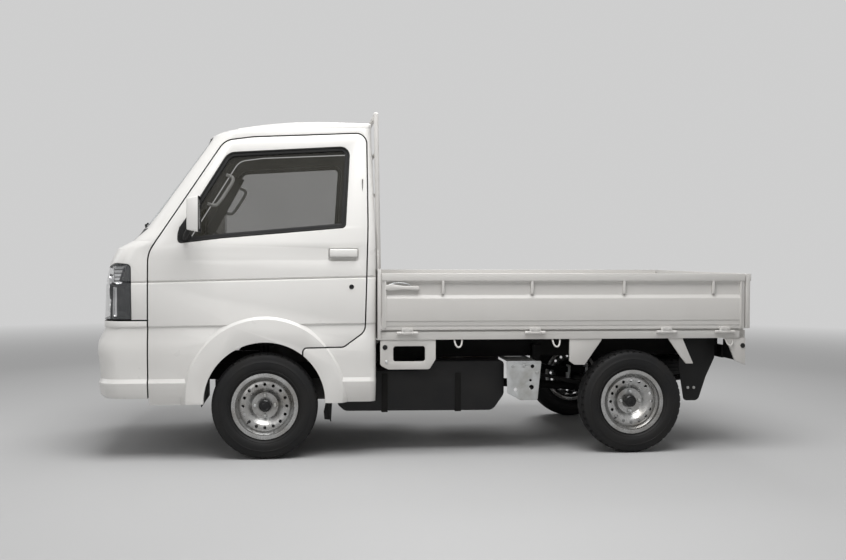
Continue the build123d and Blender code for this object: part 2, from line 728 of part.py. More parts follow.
# One half of a spring: outwards from the axle, height over the axle tube, corner radius
SPRING_LOW = [(60.0, 0.0, 0.0), (160.0, 14.0, 300.0), (SPRING_HALF, 92.0, 0.0)]
SPRING_HIGH = [(SPRING_HALF, 102.0, 0.0), (120.0, 34.0, 300.0)]
SHACKLE_HALF = 20.0
SHACKLE_FOOT = 94.0
SHACKLE_BITE = 60.0
spring_half = SPRING_LOW + SPRING_HIGH
spring_points = [(REAR_AXLE_X + out, AXLE_TUBE_TOP + rise, radius) for out, rise, radius in spring_half]
spring_points += [
    (REAR_AXLE_X - out, AXLE_TUBE_TOP + rise, radius) for out, rise, radius in reversed(spring_half)
]
with BuildPart() as leaf_springs:
    add(slab_xz(spring_points, SPRING_Y - SPRING_WIDTH / 2, SPRING_Y + SPRING_WIDTH / 2))
    for end in (1, -1):
        tip = REAR_AXLE_X + end * (SPRING_HALF - SHACKLE_HALF)
        add(block(
            tip - SHACKLE_HALF, tip + SHACKLE_HALF, CHASSIS_Y, SPRING_Y + SPRING_WIDTH / 2,
            AXLE_TUBE_TOP + SHACKLE_FOOT, CHASSIS_REAR_BOTTOM + SHACKLE_BITE,
        ))
    mirror(about=Plane.XZ)
keep(leaf_springs, "leaf_springs")

# Front lower arms with the kingpins, and the struts above them
KINGPIN_LOW = WHEEL_Z - 96.0
KINGPIN_HIGH = WHEEL_Z + 108.0
ARM_THICK = 20.0
ARM_TIP = 18.0
ARM_ROOT = 90.0
ARM_PAST = 16.0
ARM_BITE = 20.0
ARM_FOOT = 65.0
ARM_FOOT_HALF = 22.0
STRUT_Y = KINGPIN_Y - 60.0
STRUT_R = 17.0
with BuildPart() as front_arms:
    for side in (1, -1):
        outer = side * (KINGPIN_Y + ARM_PAST)
        root = side * (CHASSIS_Y - ARM_BITE)
        with BuildSketch(Plane.XY.offset(KINGPIN_LOW - ARM_THICK)):
            with BuildLine():
                Polyline(
                    (FRONT_AXLE_X - ARM_TIP, outer),
                    (FRONT_AXLE_X + ARM_TIP, outer),
                    (FRONT_AXLE_X + ARM_ROOT, root),
                    (FRONT_AXLE_X - ARM_ROOT, root),
                    (FRONT_AXLE_X - ARM_TIP, outer),
                )
            make_face()
        extrude(amount=ARM_THICK)
        add(rod(
            (FRONT_AXLE_X, side * KINGPIN_Y, KINGPIN_LOW - ARM_THICK / 2),
            (FRONT_AXLE_X, side * KINGPIN_Y, KINGPIN_HIGH),
            KINGPIN_R,
        ))
        for end in (1, -1):
            foot = FRONT_AXLE_X + end * ARM_FOOT
            x_pair = (foot - ARM_FOOT_HALF, foot + ARM_FOOT_HALF)
            y_pair = sorted((root, side * (CHASSIS_Y - CHASSIS_WIDTH)))
            add(block(*x_pair, *y_pair, KINGPIN_LOW - ARM_THICK, CHASSIS_FRONT_BOTTOM))
keep(front_arms, "front_arms")

COIL_R = 46.0
COIL_FOOT = TYRE_DIAMETER + 28.0
STRUT_TOP = SEAT_DECK_Z - FLOOR_PLATE
STRUT_ARM_HALF = 20.0
STRUT_ARM_THICK = 16.0
with BuildPart() as front_struts:
    for side in (1, -1):
        strut_foot = (FRONT_AXLE_X, side * STRUT_Y, KINGPIN_HIGH - STRUT_ARM_THICK)
        add(rod(strut_foot, (FRONT_AXLE_X, side * STRUT_Y, STRUT_TOP), STRUT_R))
        x_pair = (FRONT_AXLE_X - STRUT_ARM_HALF, FRONT_AXLE_X + STRUT_ARM_HALF)
        y_pair = sorted((side * (STRUT_Y - STRUT_R), side * (KINGPIN_Y + STRUT_ARM_HALF)))
        add(block(*x_pair, *y_pair, KINGPIN_HIGH - STRUT_ARM_THICK, KINGPIN_HIGH))
        with Locations((FRONT_AXLE_X, side * KINGPIN_Y, KINGPIN_HIGH)):
            Cylinder(KINGPIN_R + SEAT_FIT, 3 * STRUT_ARM_THICK, mode=Mode.SUBTRACT)
        with Locations((FRONT_AXLE_X, side * STRUT_Y, (COIL_FOOT + STRUT_TOP) / 2)):
            Cylinder(COIL_R, STRUT_TOP - COIL_FOOT)
    add(wheel_liners.part, mode=Mode.SUBTRACT)
keep(front_struts, "front_struts")

# Steered knuckles with their brake drums and stub axles
FRONT_HUB_FACE = FRONT_TRACK / 2 + DISC_BACK
KNUCKLE_GAP = 1.0
KNUCKLE_LOW = KINGPIN_LOW + KNUCKLE_GAP
KNUCKLE_HIGH = KINGPIN_HIGH - STRUT_ARM_THICK - KNUCKLE_GAP
KNUCKLE_R_OUT = 24.0
STUB_R = 40.0
FRONT_DRUM_BACK = KINGPIN_Y + 30.0
with BuildPart() as left_knuckle:
    with Locations((FRONT_AXLE_X, KINGPIN_Y, (KNUCKLE_LOW + KNUCKLE_HIGH) / 2)):
        Cylinder(KNUCKLE_R_OUT, KNUCKLE_HIGH - KNUCKLE_LOW)
    add(rod((FRONT_AXLE_X, KINGPIN_Y, WHEEL_Z), (FRONT_AXLE_X, FRONT_DRUM_BACK, WHEEL_Z), STUB_R))
    drum_face = (FRONT_AXLE_X, FRONT_HUB_FACE - HUB_FIT, WHEEL_Z)
    add(rod((FRONT_AXLE_X, FRONT_DRUM_BACK, WHEEL_Z), drum_face, DRUM_R))
    hub_end = (FRONT_AXLE_X, FRONT_HUB_FACE + HUB_LENGTH, WHEEL_Z)
    add(rod(drum_face, hub_end, HUB_BORE_R - HUB_FIT))
    with Locations((FRONT_AXLE_X, KINGPIN_Y, WHEEL_Z)):
        Cylinder(KINGPIN_R + SEAT_FIT, TYRE_DIAMETER, mode=Mode.SUBTRACT)
keep(left_knuckle, "left_knuckle")
with BuildPart() as right_knuckle:
    mirror(left_knuckle.part, about=Plane.XZ)
keep(right_knuckle, "right_knuckle")

# Wheels. Sections are (distance outwards from the wheel's middle plane, radius).
TREAD_HALF = 52.0
SIDEWALL_HALF = TYRE_WIDTH / 2
BEAD_HALF = 56.0
BEAD_SEAT = BEAD_R - SEAT_FIT
RIM_SECTION = [
    (-61.0, FLANGE_R),
    (-57.0, FLANGE_R),
    (-57.0, BEAD_SEAT),
    (-38.0, 151.0),
    (-28.0, 138.0),
    (24.0, 138.0),
    (36.0, 151.0),
    (57.0, BEAD_SEAT),
    (57.0, FLANGE_R),
    (61.0, FLANGE_R),
    (61.0, 148.0),
    (38.0, 147.0),
    (26.0, 134.0),
    (-30.0, 134.0),
    (-40.0, 147.0),
    (-61.0, 148.0),
]
DISC_SECTION = [
    (27.0, 136.0),
    (40.0, 126.0),
    (45.0, 112.0),
    (41.0, 96.0),
    (27.0, 80.0),
    (DISC_HUB_FACE, 66.0),
    (DISC_HUB_FACE, HUB_BORE_R),
    (DISC_BACK, HUB_BORE_R),
    (DISC_BACK, 68.0),
    (22.0, 83.0),
    (36.0, 98.0),
    (40.0, 112.0),
    (36.0, 123.0),
    (23.0, 133.0),
]
DISC_HOLES = 16
DISC_HOLE_R = 8.0
DISC_HOLE_CIRCLE = 110.0

# Right half of a tyre's outline: outwards from its middle plane, inwards from its tread
TYRE_LOW = (BEAD_HALF, FLANGE_R + 2.0)
TYRE_BULGE = (SIDEWALL_HALF, TYRE_R - 58.0)
TYRE_SHOULDER = (SIDEWALL_HALF - 9.0, TYRE_R - 17.0)
TYRE_CORNER = (TREAD_HALF + 6.0, TYRE_R - 5.0)
TYRE_EDGE = (TREAD_HALF - 6.0, TYRE_R - 1.5)


def wheel_plane(x, y, z, side):
    """Plane through a wheel's axle, local x pointing outwards and local y upwards."""
    return Plane(origin=(x, y, z), x_dir=(0.0, side, 0.0), z_dir=(side, 0.0, 0.0))


def flipped(point):
    """The same point on the tyre's inner side."""
    return (-point[0], point[1])


def make_tyre(plane):
    """Tyre as one closed ring round the plane's local x axis."""
    axle = Axis(plane.origin, plane.x_dir)
    with BuildPart() as tyre:
        with BuildSketch(plane):
            with BuildLine():
                ThreePointArc(TYRE_LOW, TYRE_BULGE, TYRE_SHOULDER)
                ThreePointArc(TYRE_SHOULDER, TYRE_CORNER, TYRE_EDGE)
                ThreePointArc(TYRE_EDGE, (0.0, TYRE_R), flipped(TYRE_EDGE))
                ThreePointArc(flipped(TYRE_EDGE), flipped(TYRE_CORNER), flipped(TYRE_SHOULDER))
                ThreePointArc(flipped(TYRE_SHOULDER), flipped(TYRE_BULGE), flipped(TYRE_LOW))
                Polyline(flipped(TYRE_LOW), (-BEAD_HALF, BEAD_R), (BEAD_HALF, BEAD_R), TYRE_LOW)
            make_face()
        revolve(axis=axle, revolution_arc=360.0)
    return tyre.part


def make_rim(plane):
    """Pressed steel rim and disc with a ring of round holes."""
    axle = Axis(plane.origin, plane.x_dir)
    disc_face = Plane(origin=plane.origin, x_dir=plane.y_dir, z_dir=plane.x_dir)
    with BuildPart() as rim:
        with BuildSketch(plane):
            with BuildLine():
                Polyline(*RIM_SECTION, close=True)
            make_face()
        revolve(axis=axle, revolution_arc=360.0)
        with BuildSketch(plane):
            with BuildLine():
                Polyline(*DISC_SECTION, close=True)
            make_face()
        revolve(axis=axle, revolution_arc=360.0)
        with BuildSketch(disc_face):
            with PolarLocations(DISC_HOLE_CIRCLE, DISC_HOLES):
                Circle(DISC_HOLE_R)
        extrude(amount=TYRE_WIDTH / 2, mode=Mode.SUBTRACT)
    return rim.part


# Wheel stations: name, axle x, wheel middle y, outward side
WHEELS = [
    ("front_left", FRONT_AXLE_X, FRONT_TRACK / 2, 1),
    ("front_right", FRONT_AXLE_X, -FRONT_TRACK / 2, -1),
    ("rear_left", REAR_AXLE_X, REAR_TRACK / 2, 1),
    ("rear_right", REAR_AXLE_X, -REAR_TRACK / 2, -1),
]
for name, axle_x, middle_y, side in WHEELS:
    hub_plane = wheel_plane(axle_x, middle_y, WHEEL_Z, side)
    with BuildPart() as tyre:
        add(make_tyre(hub_plane))
    keep(tyre, f"{name}_tyre")
    with BuildPart() as rim:
        add(make_rim(hub_plane))
    keep(rim, f"{name}_rim")

spare_plane = Plane(origin=(SPARE_X, 0.0, SPARE_Z), x_dir=(0.0, 0.0, -1.0), z_dir=(1.0, 0.0, 0.0))
with BuildPart() as spare_tyre:
    add(make_tyre(spare_plane))
keep(spare_tyre, "spare_tyre")
with BuildPart() as spare_rim:
    add(make_rim(spare_plane))
keep(spare_rim, "spare_rim")

# Bed floor with its cross beams
with BuildPart() as bed_floor:
    half = BED_INNER_Y - FLOOR_EDGE
    add(block(TAIL_INNER_X + FLOOR_END, FRONT_WALL_X, -half, half, RAIL_TOP, BED_FLOOR_Z))
keep(bed_floor, "bed_floor")

BEAM_COUNT = 6
BEAM_WIDTH = 60.0
BEAM_FROM_TAIL = 180.0
BEAM_FROM_WALL = 90.0
beam_first = TAIL_INNER_X + BEAM_FROM_TAIL
beam_step = (FRONT_WALL_X - BEAM_FROM_WALL - beam_first) / (BEAM_COUNT - 1)
beam_reach = RAIL_OUTER_Y - RAIL_DEPTH
with BuildPart() as bed_beams:
    for index in range(BEAM_COUNT):
        middle = beam_first + index * beam_step
        x_pair = (middle - BEAM_WIDTH / 2, middle + BEAM_WIDTH / 2)
        add(block(*x_pair, -beam_reach, beam_reach, RAIL_BOTTOM, RAIL_TOP))
keep(bed_beams, "bed_beams")

# Side rails of the bed, with the fixed hinge knuckles and their pins
def hinge_centres():
    """Middles of the hinges along the side gate."""
    return [REAR_AXLE_X + ahead for ahead in SIDE_HINGES]


with BuildPart() as bed_rail_left:
    rail_rear = TAIL_SILL_X + RAIL_DEPTH + RAIL_END_GAP
    add(block(rail_rear, FRONT_WALL_X, RAIL_OUTER_Y - RAIL_DEPTH, RAIL_OUTER_Y, RAIL_BOTTOM, RAIL_TOP))
    for middle in hinge_centres():
        for end in (1, -1):
            near = middle + end * (HINGE_MIDDLE / 2 + HINGE_SIDE_GAP)
            far = middle + end * HINGE_LENGTH / 2
            low, high = sorted((near, far))
            add(rod((low, SIDE_PIN_Y, PIN_Z), (high, SIDE_PIN_Y, PIN_Z), KNUCKLE_R))
            y_pair = (RAIL_OUTER_Y - HINGE_BITE, SIDE_PIN_Y)
            add(block(low, high, *y_pair, PIN_Z - KNUCKLE_R, PIN_Z + HINGE_BITE))
        low, high = middle - HINGE_LENGTH / 2, middle + HINGE_LENGTH / 2
        add(rod((low, SIDE_PIN_Y, PIN_Z), (high, SIDE_PIN_Y, PIN_Z), PIN_R))
with BuildPart() as bed_side_rails:
    add(bed_rail_left.part)
    mirror(about=Plane.XZ)
keep(bed_side_rails, "bed_side_rails")

# Side gate standing on its hinge pins
RAIL_LOW = 903.0
PANEL_HIGH = 891.0
PANEL_LOW = 812.0
STEP_Z = 697.0
gate_face = BED_INNER_Y + GATE_THICK
# Outer face of a gate from its foot to its rail: depth behind the face, height
GATE_PROFILE = [
    (7.0, GATE_FOOT),
    (7.0, STEP_Z - 27.0),
    (4.0, STEP_Z - 24.0),
    (4.0, STEP_Z - 2.0),
    (0.0, STEP_Z + 1.0),
    (0.0, PANEL_LOW),
    (13.0, PANEL_LOW + 18.0),
    (13.0, PANEL_HIGH),
    (-RAIL_PROUD, RAIL_LOW),
    (-RAIL_PROUD, GATE_TOP),
]
gate_section = [(BED_INNER_Y, GATE_FOOT)]
gate_section += [(gate_face - depth, height) for depth, height in GATE_PROFILE]
gate_section.append((BED_INNER_Y, GATE_TOP))
GATE_END_FRAME = 24.0
with BuildPart() as left_side_gate:
    with BuildSketch(Plane.YZ.offset(GATE_REAR_X)):
        with BuildLine():
            Polyline(*gate_section, close=True)
        make_face()
    extrude(amount=GATE_FRONT_X - GATE_REAR_X)
    for low, high in (
        (GATE_REAR_X, GATE_REAR_X + GATE_END_FRAME),
        (GATE_FRONT_X - GATE_END_FRAME, GATE_FRONT_X),
    ):
        add(block(low, high, BED_INNER_Y, gate_face, GATE_FOOT, GATE_TOP))
    for middle in hinge_centres():
        low, high = middle - HINGE_MIDDLE / 2, middle + HINGE_MIDDLE / 2
        y_pair = (SIDE_PIN_Y - STRAP_BITE, gate_face + HINGE_PAST_FACE)
        bore = rod((low - PIN_CUT, SIDE_PIN_Y, PIN_Z), (high + PIN_CUT, SIDE_PIN_Y, PIN_Z), PIN_R + PIN_FIT)
        add(rod((low, SIDE_PIN_Y, PIN_Z), (high, SIDE_PIN_Y, PIN_Z), KNUCKLE_R))
        add(block(low, high, *y_pair, PIN_Z, GATE_FOOT + HINGE_STRAP))
        add(bore, mode=Mode.SUBTRACT)
keep(left_side_gate, "left_side_gate")
with BuildPart() as right_side_gate:
    mirror(left_side_gate.part, about=Plane.XZ)
keep(right_side_gate, "right_side_gate")

# Tail sill with the tailgate's knuckles and pins
SILL_HALF = BED_INNER_Y - 10.0
SILL_FOOT = RAIL_BOTTOM - 20.0
with BuildPart() as rear_sill:
    add(block(TAIL_SILL_X, TAIL_SILL_X + RAIL_DEPTH, -SILL_HALF, SILL_HALF, SILL_FOOT, RAIL_TOP))
    for middle in TAIL_HINGES:
        for end in (1, -1):
            near = middle + end * (HINGE_MIDDLE / 2 + HINGE_SIDE_GAP)
            far = middle + end * HINGE_LENGTH / 2
            low, high = sorted((near, far))
            add(rod((TAIL_PIN_X, low, PIN_Z), (TAIL_PIN_X, high, PIN_Z), KNUCKLE_R))
            x_pair = (TAIL_PIN_X, TAIL_SILL_X + HINGE_BITE)
            add(block(*x_pair, low, high, PIN_Z - KNUCKLE_R, PIN_Z + HINGE_BITE))
        low, high = middle - HINGE_LENGTH / 2, middle + HINGE_LENGTH / 2
        add(rod((TAIL_PIN_X, low, PIN_Z), (TAIL_PIN_X, high, PIN_Z), PIN_R))
keep(rear_sill, "rear_sill")

TAIL_GATE_SHORT = 4.0
tail_section = [(TAIL_INNER_X - (y - BED_INNER_Y), z) for y, z in gate_section]
tail_half = gate_face - TAIL_GATE_SHORT
with BuildPart() as tail_gate:
    with BuildSketch(Plane.XZ.offset(-tail_half)):
        with BuildLine():
            Polyline(*tail_section, close=True)
        make_face()
    extrude(amount=2 * tail_half)
    for side in (1, -1):
        low, high = sorted((side * tail_half, side * (tail_half - GATE_END_FRAME)))
        add(block(TAIL_FACE_X, TAIL_INNER_X, low, high, GATE_FOOT, GATE_TOP))
    for middle in TAIL_HINGES:
        low, high = middle - HINGE_MIDDLE / 2, middle + HINGE_MIDDLE / 2
        x_pair = (TAIL_FACE_X - HINGE_PAST_FACE, TAIL_PIN_X + STRAP_BITE)
        bore = rod((TAIL_PIN_X, low - PIN_CUT, PIN_Z), (TAIL_PIN_X, high + PIN_CUT, PIN_Z), PIN_R + PIN_FIT)
        add(rod((TAIL_PIN_X, low, PIN_Z), (TAIL_PIN_X, high, PIN_Z), KNUCKLE_R))
        add(block(*x_pair, low, high, PIN_Z, GATE_FOOT + HINGE_STRAP))
        add(bore, mode=Mode.SUBTRACT)
keep(tail_gate, "tail_gate")

# Front wall of the bed and the guard frame that stands on it
WALL_HALF = BED_INNER_Y - 3.0
WALL_EAR_TOP = GATE_TOP + 12.0
with BuildPart() as bed_front_wall:
    wall_x = (FRONT_WALL_X, FRONT_WALL_X + FRONT_WALL_THICK)
    add(block(*wall_x, -WALL_HALF, WALL_HALF, RAIL_BOTTOM, POST_FOOT_Z))
    for side in (1, -1):
        y_pair = sorted((side * WALL_HALF, side * tail_half))
        add(block(*wall_x, *y_pair, RAIL_BOTTOM, WALL_EAR_TOP))
keep(bed_front_wall, "bed_front_wall")

GUARD_BARS = [1150.0, 1350.0, 1560.0]
GUARD_BAR_R = 8.0
GUARD_INWARD = 12.0
POST_SEAT = 0.5
with BuildPart() as guard_frame:
    rise = GUARD_TOP - POST_FOOT_Z
    head_x = GUARD_FOOT_X + GUARD_LEAN
    head_y = POST_Y - GUARD_INWARD
    for side in (1, -1):
        post_foot = (GUARD_FOOT_X, side * POST_Y, POST_FOOT_Z + POST_SEAT)
        post_head = (head_x, side * head_y, GUARD_TOP)
        add(rod(post_foot, post_head, POST_R))
        with Locations(post_head):
            Sphere(POST_R)
    add(rod((head_x, -head_y, GUARD_TOP), (head_x, head_y, GUARD_TOP), POST_R))
    for height in GUARD_BARS:
        share = (height - POST_FOOT_Z) / rise
        x = GUARD_FOOT_X + share * GUARD_LEAN
        y = POST_Y - share * GUARD_INWARD
        add(rod((x, -y, height), (x, y, height), GUARD_BAR_R))
keep(guard_frame, "guard_frame")

# Pressed bracket under the front of the bed, one each side
# Outline and window: forwards from the bed's front wall, height, corner radius
BRACKET_OUTLINE = [
    (2.0, RAIL_BOTTOM, 0.0),
    (2.0, 470.0, 18.0),
    (-40.0, 449.0, 18.0),
    (-250.0, 449.0, 18.0),
    (-282.0, 500.0, 18.0),
    (-282.0, RAIL_BOTTOM, 0.0),
]
BRACKET_WINDOW = [
    (-64.0, 568.0, 14.0),
    (-64.0, 489.0, 14.0),
    (-228.0, 489.0, 14.0),
    (-228.0, 568.0, 14.0),
]
BRACKET_Y = RAIL_OUTER_Y - 5.0
BRACKET_THICK = 18.0
with BuildPart() as bed_front_brackets:
    add(slab_xz(placed(BRACKET_OUTLINE, FRONT_WALL_X), BRACKET_Y - BRACKET_THICK, BRACKET_Y))
    add(slab_xz(placed(BRACKET_WINDOW, FRONT_WALL_X), 0.0, BRACKET_Y), mode=Mode.SUBTRACT)

# Small white stays before and behind the rear wheel, and the rear corner brackets
STAY_OUTLINES = [
    [
        (338.0, RAIL_BOTTOM, 0.0),
        (338.0, 484.0, 0.0),
        (311.0, 466.0, 0.0),
        (258.0, 465.0, 0.0),
        (168.0, 593.0, 0.0),
        (168.0, RAIL_BOTTOM, 0.0),
    ],
    [
        (-190.0, RAIL_BOTTOM, 0.0),
        (-256.0, 507.0, 0.0),
        (-289.0, 467.0, 0.0),
        (-327.0, 467.0, 0.0),
        (-271.0, 593.0, 0.0),
        (-271.0, RAIL_BOTTOM, 0.0),
    ],
    [
        (-505.0, RAIL_BOTTOM, 0.0),
        (-555.0, 482.0, 0.0),
        (-612.0, 458.0, 0.0),
        (-612.0, RAIL_BOTTOM, 0.0),
    ],
]
STAY_THICK = 14.0
with BuildPart() as bed_brackets:
    add(bed_front_brackets.part)
    for outline in STAY_OUTLINES:
        add(slab_xz(placed(outline, REAR_AXLE_X), BRACKET_Y - STAY_THICK, BRACKET_Y))
    mirror(about=Plane.XZ)
keep(bed_brackets, "bed_brackets")

# Fuel tank on the left and battery box on the right, hung from the rails
# Tank outline: forwards from the front axle, height, corner radius
TANK_OUTLINE = [
    (-368.0, 430.0, 20.0),
    (-368.0, 256.0, 40.0),
    (-408.0, 222.0, 40.0),
    (-1185.0, 217.0, 50.0),
    (-1245.0, 300.0, 50.0),
    (-1245.0, 478.0, 20.0),
    (-788.0, 478.0, 20.0),
    (-788.0, 430.0, 20.0),
]
TANK_INNER = CHASSIS_Y + SEAT_FIT
TANK_OUTER = 590.0
with BuildPart() as fuel_tank:
    add(slab_xz(placed(TANK_OUTLINE, FRONT_AXLE_X), TANK_INNER, TANK_OUTER))
keep(fuel_tank, "fuel_tank")

BATTERY_X = (FRONT_AXLE_X - 888.0, FRONT_AXLE_X - 538.0)
BATTERY_Z = (270.0, 480.0)
BATTERY_CORNER = 18.0
with BuildPart() as battery_box:
    add(block(*BATTERY_X, -TANK_OUTER, -TANK_INNER, *BATTERY_Z))
    fillet(battery_box.edges().filter_by(Axis.Z), BATTERY_CORNER)
keep(battery_box, "battery_box")

# Galvanised plate behind the tank, hung from the side rail
PLATE_Y = HALF - 105.5
PLATE_THICK = 3.0
PLATE_TOP = 479.0
PLATE_OUTLINE = [
    (-1250.0, PLATE_TOP, 8.0),
    (-1255.0, 310.0, 8.0),
    (-1326.0, 273.0, 12.0),
    (-1416.0, 272.0, 12.0),
    (-1427.0, 388.0, 8.0),
    (-1436.0, PLATE_TOP, 8.0),
]
PLATE_ARM_X = (FRONT_AXLE_X - 1412.0, FRONT_AXLE_X - 1256.0)
PLATE_PAD_X = (FRONT_AXLE_X - 1382.0, FRONT_AXLE_X - 1282.0)
PLATE_PAD_TOP = CHASSIS_REAR_BOTTOM - 6.6
with BuildPart() as side_plate:
    rail_inner = CHASSIS_Y - CHASSIS_WIDTH
    add(slab_xz(placed(PLATE_OUTLINE, FRONT_AXLE_X), PLATE_Y - PLATE_THICK, PLATE_Y))
    add(block(*PLATE_ARM_X, rail_inner, PLATE_Y, PLATE_TOP - PLATE_THICK, PLATE_TOP))
    add(block(*PLATE_PAD_X, rail_inner, CHASSIS_Y, PLATE_TOP, PLATE_PAD_TOP))
keep(side_plate, "side_plate")

# Exhaust with its silencer on the right
EXHAUST_Y = -485.0
EXHAUST_Z = 360.0
SILENCER_X = (FRONT_AXLE_X - 980.0, FRONT_AXLE_X - 1400.0)
SILENCER_R = 72.0
EXHAUST_PIPE_X = FRONT_AXLE_X - 930.0
EXHAUST_PIPE_R = 20.0
EXHAUST_HANGER_X = (FRONT_AXLE_X - 1165.0, FRONT_AXLE_X - 1135.0)
EXHAUST_HANGER_Y = EXHAUST_Y + 30.0
EXHAUST_HANGER_Z = (400.0, 520.0)
with BuildPart() as exhaust:
    add(rod((SILENCER_X[0], EXHAUST_Y, EXHAUST_Z), (SILENCER_X[1], EXHAUST_Y, EXHAUST_Z), SILENCER_R))
    add(rod((SILENCER_X[1], EXHAUST_Y, EXHAUST_Z), (EXHAUST_PIPE_X, EXHAUST_Y, EXHAUST_Z), EXHAUST_PIPE_R))
    add(block(*EXHAUST_HANGER_X, EXHAUST_HANGER_Y, -CHASSIS_Y, *EXHAUST_HANGER_Z))
keep(exhaust, "exhaust")

# Mud guards behind the rear wheels and flaps behind the front ones
REAR_GUARD_OUTLINE = [
    (-318.0, RAIL_BOTTOM, 0.0),
    (-300.0, 440.0, 60.0),
    (-330.0, 252.0, 20.0),
    (-410.0, 252.0, 30.0),
    (-452.0, 380.0, 60.0),
    (-500.0, 484.0, 20.0),
    (-500.0, RAIL_BOTTOM, 0.0),
]
REAR_GUARD_Y = (560.0, 566.0)
FLAP_FOOT_Z = 179.0
FLAP_RAKE = 12.0
FLAP_THICK = 6.0
FLAP_INNER_Y = HALF - 167.5
FLAP_OUTLINE = [
    (-LINER_R, ARCH_Z, 0.0),
    (-LINER_R - FLAP_RAKE, FLAP_FOOT_Z, 0.0),
    (-LINER_R - FLAP_RAKE - FLAP_THICK, FLAP_FOOT_Z, 0.0),
    (-LINER_R - LINER_WALL, ARCH_Z, 0.0),
]
with BuildPart() as mud_guards:
    add(slab_xz(placed(REAR_GUARD_OUTLINE, REAR_AXLE_X), *REAR_GUARD_Y))
    add(slab_xz(placed(FLAP_OUTLINE, FRONT_AXLE_X), FLAP_INNER_Y, LINER_OUTER_Y))
    mirror(about=Plane.XZ)
keep(mud_guards, "mud_guards")

# Tail lamps and a small rear bumper bar under the sill
TAIL_LAMP = (52.0, 150.0, 100.0)
TAIL_LAMP_Y = HALF - 137.5
TAIL_LAMP_CORNER = 14.0
with BuildPart() as tail_lamps:
    for side in (1, -1):
        with Locations((TAIL_SILL_X + TAIL_LAMP[0] / 2, side * TAIL_LAMP_Y, SILL_FOOT - TAIL_LAMP[2] / 2)):
            Box(*TAIL_LAMP)
    fillet(tail_lamps.edges().filter_by(Axis.X), TAIL_LAMP_CORNER)
keep(tail_lamps, "tail_lamps")

REAR_BAR_X = (TAIL_SILL_X + 6.0, TAIL_SILL_X + 26.0)
REAR_BAR_HALF = HALF - 297.5
REAR_BAR_Z = (470.0, 540.0)
REAR_BAR_ARM_Z = (500.0, 540.0)
REAR_BAR_ARM_HALF = 20.0
with BuildPart() as rear_bumper:
    add(block(*REAR_BAR_X, -REAR_BAR_HALF, REAR_BAR_HALF, *REAR_BAR_Z))
    for side in (1, -1):
        arm_y = side * (CHASSIS_Y - CHASSIS_WIDTH / 2)
        y_pair = (arm_y - REAR_BAR_ARM_HALF, arm_y + REAR_BAR_ARM_HALF)
        add(block(REAR_BAR_X[0], TAIL_SILL_X + RAIL_DEPTH, *y_pair, *REAR_BAR_ARM_Z))
keep(rear_bumper, "rear_bumper")

# Dashboard, steering column and wheel for right-hand drive
DASH_HALF = FLOOR_HALF - 18.0
DASH_OUTLINE = [
    (500.0, 900.0, 30.0),
    (500.0, 1085.0, 50.0),
    (655.0, 1118.0, 20.0),
    (655.0, 1040.0, 10.0),
    (700.0, 900.0, 30.0),
]
DASH_LEG_X = (FRONT_AXLE_X + 660.0, FRONT_AXLE_X + 690.0)
DASH_LEG_HALF = 40.0
DASH_LEG_TOP = 910.0
with BuildPart() as dashboard:
    add(slab_xz(placed(DASH_OUTLINE, FRONT_AXLE_X), -DASH_HALF, DASH_HALF))
    add(block(*DASH_LEG_X, -DASH_LEG_HALF, DASH_LEG_HALF, FLOOR_Z, DASH_LEG_TOP))
    add(cab_space, mode=Mode.INTERSECT)
keep(dashboard, "dashboard")

HUB_DEPTH = 28.0
rake = math.radians(STEER_RAKE)
column_dir = (math.sin(rake), 0.0, -math.cos(rake))
hub_point = (FRONT_AXLE_X + STEER_HUB[0], STEER_Y, STEER_HUB[1])
column_start = tuple(h + (HUB_DEPTH + SEAT_FIT) * d for h, d in zip(hub_point, column_dir))
column_length = (column_start[2] - FLOOR_Z) / math.cos(rake)
column_end = tuple(s + column_length * d for s, d in zip(column_start, column_dir))
with BuildPart() as steering_column:
    add(rod(column_start, column_end, COLUMN_R))
    add(block(0.0, NOSE_X, -HALF, HALF, 0.0, FLOOR_Z), mode=Mode.SUBTRACT)
    add(cab_space, mode=Mode.INTERSECT)
    add(dashboard.part, mode=Mode.SUBTRACT)
keep(steering_column, "steering_column")

wheel_face = Plane(origin=hub_point, z_dir=tuple(-d for d in column_dir))
with BuildPart() as steering_wheel:
    with BuildSketch(wheel_face):
        Circle(STEER_BOSS_R)
    extrude(amount=-HUB_DEPTH)
    with BuildSketch(Plane(origin=wheel_face.origin, x_dir=wheel_face.x_dir, z_dir=wheel_face.y_dir)):
        with Locations((STEER_WHEEL_R, 0.0)):
            Circle(STEER_RIM_R)
    revolve(axis=Axis(wheel_face.origin, wheel_face.z_dir), revolution_arc=360.0)
    with BuildSketch(wheel_face.offset(-SPOKE_SUNK)):
        with PolarLocations(0.0, SPOKES):
            with Locations((STEER_WHEEL_R / 2, 0.0)):
                Rectangle(STEER_WHEEL_R, SPOKE_WIDTH)
    extrude(amount=-SPOKE_THICK)
keep(steering_wheel, "steering_wheel")

# Seats, with the backs standing on the cushions
CUSHION_X = FRONT_AXLE_X - 190.0
CUSHION_LENGTH = 450.0
CUSHION_THICK = 130.0
CUSHION_EDGE_R = 28.0
CUSHION_TOP = SEAT_DECK_Z + SEAT_FIT + CUSHION_THICK
with BuildPart() as seat_cushions:
    for side in (1, -1):
        with Locations((CUSHION_X, side * SEAT_Y, CUSHION_TOP - CUSHION_THICK / 2)):
            Box(CUSHION_LENGTH, SEAT_WIDTH, CUSHION_THICK)
    fillet(seat_cushions.edges().group_by(Axis.Z)[-1], CUSHION_EDGE_R)
keep(seat_cushions, "seat_cushions")

